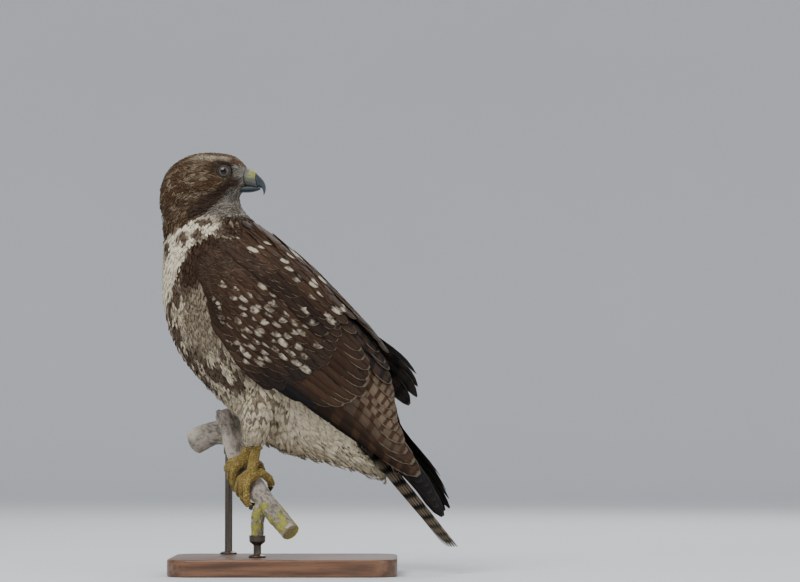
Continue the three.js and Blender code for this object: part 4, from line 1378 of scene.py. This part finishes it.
class HAWK_OT_tail(bpy.types.Operator):
    """Fans the twelve barred tail feathers, the middle pair on top"""

    bl_idname = "hawk.tail"
    bl_label = "Tail"

    def execute(self, context):
        rng = np.random.default_rng(plumage().seed + 40)
        leaf = Leaf(20, 6)
        p = plumage()
        corners = []
        a = leaf.along * 0.45 + np.sin(leaf.along * math.pi / 2) * 0.55
        for i in range(TAIL_PAIRS):
            for side in (LEFT, RIGHT):
                order = 2 * i + (side == RIGHT)
                middle = math.radians(TAIL_FORM["pitch"] * (i + 0.55)) * side
                reach = 1 - 0.01 * i - (0.012 if i == TAIL_PAIRS - 1 else 0)
                at = blend(0.05, reach, a)
                half = TAIL_FORM["half"] * vane_outline(blend(0.2, 1, a)) * blend(0.7, 1, ease(at * 1.6))
                angle = middle * blend(0.75, 1, at) + leaf.across * half / TAIL_FORM["width"][1]
                thick = leaf.face * blend(0.12, 0.26, 1 - np.abs(leaf.across))
                corners.append(on_tail(at, angle, -order * TAIL_FORM["drop"] + thick) * MM)
        n = len(corners)
        brown, cream = np.array(p.brown), np.array(p.cream)
        looks = {
            "ground": np.tile(blend(brown, cream, 0.2), (n, 1)) * rng.uniform(0.9, 1.1, (n, 1)),
            "mark": np.tile(np.array(p.black) * 1.3, (n, 1)),
            "fringe": np.tile(blend(cream, brown, 0.2), (n, 1)),
            "pattern": np.tile([0.04, 0.72, 0.35, 0.0], (n, 1)),
            "seed": rng.random(n),
        }
        roots = np.stack([0.05 + np.arange(n) * 0.07, np.full(n, 0.5)], -1)
        finish = feather_finish()
        coat_piece("tail_feathers", leaf, np.array(corners), roots, looks, finish, ("tail",))
        return {"FINISHED"}


# Eyes, bill and feet


class HAWK_OT_eyes(bpy.types.Operator):
    """Makes both glossy eyes with iris and pupil, and their lids"""

    bl_idname = "hawk.eyes"
    bl_label = "Eyes"

    def execute(self, context):
        finish = eye_finish()
        lid = lid_finish()
        for name, side in SIDES.items():
            centre = in_head(0, side * 18, HEAD_AT[2]) * MM
            outward = unit(in_head(2.6, side * 26, HEAD_AT[2] - 0.3) * MM - centre)
            bm = bmesh.new()
            bmesh.ops.create_uvsphere(bm, u_segments=48, v_segments=32, radius=0.0078)
            turn = Vector((0, 0, 1)).rotation_difference(Vector(outward)).to_matrix().to_4x4()
            bmesh.ops.transform(bm, matrix=Matrix.Translation(Vector(centre)) @ turn, verts=bm.verts)
            eye = piece_from(f"eyeball_{name}", bm, finish, (f"eye_{name}",))
            points = vertex_array(eye.data) - centre
            depth = points @ outward
            flat = points - depth[:, None] * outward
            r = np.linalg.norm(flat, axis=-1)
            r = np.where(depth > 0, r, 0.01)
            turned = np.arctan2(flat[:, 2], flat @ np.cross(outward, [0, 0, 1.0]))
            add_attribute(eye.data, "disc", np.stack([r, turned, turned * 0], -1))
            self.lids(name, centre, turn, lid)
        return {"FINISHED"}

    def lids(self, name, centre, turn, material):
        """Two soft folds of bare skin round the eye."""
        bm = bmesh.new()
        for radius, depth, thick in ((0.0062, 0.0046, 0.00065), (0.0069, 0.0029, 0.0007)):
            ring = bmesh.ops.create_circle(bm, segments=10, radius=thick)["verts"]
            bmesh.ops.rotate(bm, verts=ring, cent=(0, 0, 0), matrix=Matrix.Rotation(math.pi / 2, 3, "X"))
            bmesh.ops.translate(bm, verts=ring, vec=(radius, 0, depth))
            edges = list({e for v in ring for e in v.link_edges})
            full_spin(bm, ring + edges, 44)
        bmesh.ops.recalc_face_normals(bm, faces=bm.faces)
        bmesh.ops.transform(bm, matrix=Matrix.Translation(Vector(centre)) @ turn, verts=bm.verts)
        piece_from(f"eyelids_{name}", bm, material)


def smoothed_copy(name, nodes, voxel, smooth, material):
    """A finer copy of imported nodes, made even and smooth, that stands for them."""
    bm = remeshed(merged_copy(*nodes), voxel, smooth)
    return piece_from(name, bm, material, nodes)


class HAWK_OT_bill(bpy.types.Operator):
    """Gives bill and cere their smooth forms and finishes"""

    bl_idname = "hawk.bill"
    bl_label = "Bill"

    def execute(self, context):
        base = bare_parts().bill
        horn = horn_finish("bill_horn", base, [c * 1.6 for c in base])
        smoothed_copy("bill_hook", ("bill_upper",), 0.0004, 4, horn)
        smoothed_copy("bill_under", ("bill_lower",), 0.0004, 4, horn)
        smoothed_copy("bill_cere", ("cere",), 0.0004, 3, cere_finish())
        return {"FINISHED"}


class HAWK_OT_feet(bpy.types.Operator):
    """Gives legs, toes and claws their smooth forms, scales and horn"""

    bl_idname = "hawk.feet"
    bl_label = "Feet"

    def execute(self, context):
        scales = scale_finish()
        horn = horn_finish("claw_horn", bare_parts().claws, (0.06, 0.055, 0.05))
        for name in SIDES:
            nodes = (f"tarsus_{name}", f"foot_{name}")
            smoothed_copy(f"leg_{name}", nodes, 0.0006, 3, scales)
            for toe in ("inner", "middle", "outer", "hind"):
                node = f"claw_{name}_{toe}"
                smoothed_copy(f"talon_{name}_{toe}", (node,), 0.00035, 2, horn)
        return {"FINISHED"}


# Perch and stand

# Middle lines of the branch's arms: trunk, limb, fork and knob
BRANCHES = [
    [[-65, 68, 168], [-55, 51, 134], [-42, 29, 104], [-28, -11, 87], [-11, -36, 67], [9, -57, 45]],
    [[-58, 58, 146], [-80, 76, 147], [-100, 88, 138]],
    [[-19, -24, 77], [-26, -27, 62], [-27, -28, 38]],
    [[-66, 66, 160], [-75, 70, 171]],
]
CUTS = [(0, 0), (0, -1), (1, -1), (2, -1), (3, -1)]


def along_branches(points):
    """Length along the nearest arm and offset from its middle, for points on the branch in millimetres."""
    best = np.full(len(points), 1e9)
    run, off = np.zeros(len(points)), np.zeros((len(points), 3))
    for k, line in enumerate(BRANCHES):
        line = np.array(line, float)
        start = 0.0
        for a, b in zip(line, line[1:]):
            way = b - a
            share = np.clip((points - a) @ way / (way @ way), 0, 1)
            to = points - a - share[:, None] * way
            gap = np.linalg.norm(to, axis=-1)
            near = gap < best
            best[near] = gap[near]
            run[near] = (start + share * np.linalg.norm(way))[near] + 90 * k
            off[near] = to[near]
            start += np.linalg.norm(way)
    return run, off


class HAWK_OT_perch(bpy.types.Operator):
    """Makes the cut branch with cracked bark, ringed cuts and lichen"""

    bl_idname = "hawk.perch"
    bl_label = "Perch"

    def execute(self, context):
        bm = remeshed(merged_copy("perch_branch"), 0.001, 2)
        mesh = bpy.data.meshes.new("perch")
        bm.to_mesh(mesh)
        bm.free()
        points, normals = vertex_array(mesh) / MM, vertex_array(mesh, "normal")
        run, off = along_branches(points)
        cut, ring = np.zeros(len(points)), np.zeros(len(points))
        for k, end in CUTS:
            line = np.array(BRANCHES[k], float)
            middle = line[end]
            way = unit(middle - line[1 if end == 0 else -2])
            to = points - middle
            flat = (to @ way > -1.2) & (np.linalg.norm(to, axis=-1) < 17)
            cut = np.maximum(cut, flat * ease(normals @ way, 0.7, 0.9))
            ring = np.where(flat, np.linalg.norm(to - (to @ way)[:, None] * way, axis=-1), ring)
        x, y, z = unit(off).T
        field = np.stack([run * 0.012, x * 0.3 + y * 0.17, z * 0.3], -1)
        bark = np.array([noise.fractal(Vector(v) * 14, 0.8, 2.1, 4) for v in field])
        moved = points + normals * ((bark * 0.55 - 0.35) * (1 - cut))[:, None]
        mesh.vertices.foreach_set("co", (moved * MM).astype(np.float32).ravel())
        mesh.update()
        add_attribute(mesh, "run", field)
        add_attribute(mesh, "cut", np.stack([cut, ring * MM, cut * 0], -1))
        finished("perch", mesh, bark_finish(), ("perch_branch",))
        return {"FINISHED"}


def turned(profile, x, y):
    """A closed shape spun from its profile, [radius, height] in millimetres, round an upright axis."""
    bm = bmesh.new()
    line = [bm.verts.new((r * MM, 0, h * MM)) for r, h in profile]
    edges = [bm.edges.new(pair) for pair in zip(line, line[1:])]
    full_spin(bm, line + edges, 40)
    bmesh.ops.remove_doubles(bm, verts=bm.verts, dist=1e-6)
    bmesh.ops.recalc_face_normals(bm, faces=bm.faces)
    corners = [e for e in bm.edges if e.is_manifold and e.calc_face_angle(0) > 0.6]
    bmesh.ops.bevel(bm, geom=corners, offset=0.0003, affect="EDGES", segments=2, profile=0.5, material=-1)
    bmesh.ops.translate(bm, verts=bm.verts, vec=(x * MM, y * MM, 0))
    return bm


class HAWK_OT_stand(bpy.types.Operator):
    """Makes the bevelled base and the turned rods of the display stand"""

    bl_idname = "hawk.stand"
    bl_label = "Stand"

    def execute(self, context):
        low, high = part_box("stand_base")
        bm = bmesh.new()
        bmesh.ops.create_cube(bm, size=1)
        bmesh.ops.scale(bm, vec=high - low, verts=bm.verts)
        bmesh.ops.translate(bm, vec=(low + high) / 2, verts=bm.verts)
        upright = [e for e in bm.edges if abs(e.verts[0].co.z - e.verts[1].co.z) > 0.01]
        bmesh.ops.bevel(bm, geom=upright, offset=0.026, affect="EDGES", segments=14, profile=0.5, material=-1)
        flat = [e for e in bm.edges if abs(e.verts[0].co.z - e.verts[1].co.z) < 1e-5]
        rims = [e for e in flat if e.calc_face_angle(0) > 1.2]
        bmesh.ops.bevel(bm, geom=rims, offset=0.002, affect="EDGES", segments=4, profile=0.5, material=-1)
        bmesh.ops.recalc_face_normals(bm, faces=bm.faces)
        piece_from("stand_plinth", bm, base_finish(), ("stand_base",))
        metal = rod_finish()
        foot = [[0, 18.2], [9, 18.2], [9, 19.8], [7, 20.8], [4, 21.4]]
        cup = [[4, 31], [8.3, 34.5], [8.5, 41], [7.3, 41.2], [7.1, 37.7], [0, 37.5]]
        piece_from("rod_front", turned(foot + cup, -27, -28), metal, ("stand_rod_front",))
        sleeve = [[4, 124], [5.4, 125.5], [5.4, 137], [0, 137.2]]
        piece_from("rod_back", turned(foot + sleeve, -62, 60), metal, ("stand_rod_back",))
        return {"FINISHED"}


class HAWK_OT_stage(bpy.types.Operator):
    """Sets the floor, the soft light and the camera"""

    bl_idname = "hawk.stage"
    bl_label = "Stage"

    def execute(self, context):
        bm = bmesh.new()
        bend = [(0.0, 0.0), (4.2, 0.0)]
        turns = np.linspace(0.15, math.pi / 2, 10)
        bend += [(4.2 + 1.2 * math.sin(a), 1.2 - 1.2 * math.cos(a)) for a in turns]
        bend += [(5.4, 4.0)]
        line = [bm.verts.new((r, 0, h)) for r, h in bend]
        edges = [bm.edges.new(pair) for pair in zip(line, line[1:])]
        full_spin(bm, line + edges, 64)
        bmesh.ops.remove_doubles(bm, verts=bm.verts, dist=1e-5)
        bmesh.ops.recalc_face_normals(bm, faces=bm.faces)
        mesh = bpy.data.meshes.new("floor")
        bm.to_mesh(mesh)
        bm.free()
        mesh.shade_smooth()
        floor = bpy.data.objects.new("floor", mesh)
        context.scene.collection.objects.link(floor)
        m = Nodes("floor")
        cloud = m.noise(m.place(), 2.0)
        colour = m.mix(cloud, (0.64, 0.65, 0.665), (0.67, 0.68, 0.695))
        mesh.materials.append(m.finish(colour, 0.95))
        world = bpy.data.worlds.new("studio")
        context.scene.world = world
        world.use_nodes = True
        world.node_tree.nodes["Background"].inputs[0].default_value = (0.93, 0.96, 1.0, 1)
        world.node_tree.nodes["Background"].inputs[1].default_value = 0.82
        self.lamp(context, "key", (-0.9, -1.6, 2.1), 1.4, 60)
        self.lamp(context, "fill", (1.9, -1.3, 1.1), 1.8, 16)
        self.lamp(context, "rim", (0.6, 1.9, 1.7), 1.3, 22)
        self.camera(context)
        return {"FINISHED"}

    def lamp(self, context, name, place, size, power):
        light = bpy.data.lights.new(name, "AREA")
        light.size = size
        light.energy = power
        lamp = bpy.data.objects.new(name, light)
        lamp.location = place
        aim = Vector((0.0, 0.0, 0.25)) - Vector(place)
        lamp.rotation_euler = aim.to_track_quat("-Z", "Y").to_euler()
        context.scene.collection.objects.link(lamp)

    def camera(self, context):
        data = bpy.data.cameras.new("camera")
        distance = 3.0
        data.sensor_width = 36.0
        data.lens = 36.0 * distance / (800 * PHOTO_SCALE * MM)
        camera = bpy.data.objects.new("camera", data)
        context.scene.collection.objects.link(camera)
        tilt = math.radians(-3)
        target = Vector((0.12075, 0.0, 0.2959))
        camera.location = target + Vector((0, -math.cos(tilt), math.sin(tilt))) * distance
        aim = target - camera.location
        camera.rotation_euler = aim.to_track_quat("-Z", "Y").to_euler()
        context.scene.camera = camera


STEPS = (
    HAWK_OT_stage,
    HAWK_OT_skin,
    HAWK_OT_body_coat,
    HAWK_OT_head_coat,
    HAWK_OT_wings,
    HAWK_OT_tail,
    HAWK_OT_eyes,
    HAWK_OT_bill,
    HAWK_OT_feet,
    HAWK_OT_perch,
    HAWK_OT_stand,
)
GROUPS = {
    "hawk_plumage": HAWK_PG_plumage,
    "hawk_bare_parts": HAWK_PG_bare_parts,
    "hawk_stand": HAWK_PG_stand,
}


class HAWK_PT_panel(bpy.types.Panel):
    """Lists the hawk's pieces"""

    bl_idname = "HAWK_PT_panel"
    bl_label = "Perched Hawk"
    bl_space_type = "VIEW_3D"
    bl_region_type = "UI"
    bl_category = "Hawk"

    def draw(self, context):
        for key in GROUPS:
            group = getattr(context.scene, key)
            for name in group.__annotations__:
                self.layout.prop(group, name)
        for step in STEPS:
            self.layout.operator(step.bl_idname)


CLASSES = (*GROUPS.values(), *STEPS, HAWK_PT_panel)


def register():
    for one in CLASSES:
        bpy.utils.register_class(one)
    for key, group in GROUPS.items():
        setattr(bpy.types.Scene, key, PointerProperty(type=group))


def unregister():
    for key in GROUPS:
        delattr(bpy.types.Scene, key)
    for one in reversed(CLASSES):
        bpy.utils.unregister_class(one)


def main():
    register()
    for step in STEPS:
        space, name = step.bl_idname.split(".")
        getattr(getattr(bpy.ops, space), name)()


if __name__ == "__main__":
    main()
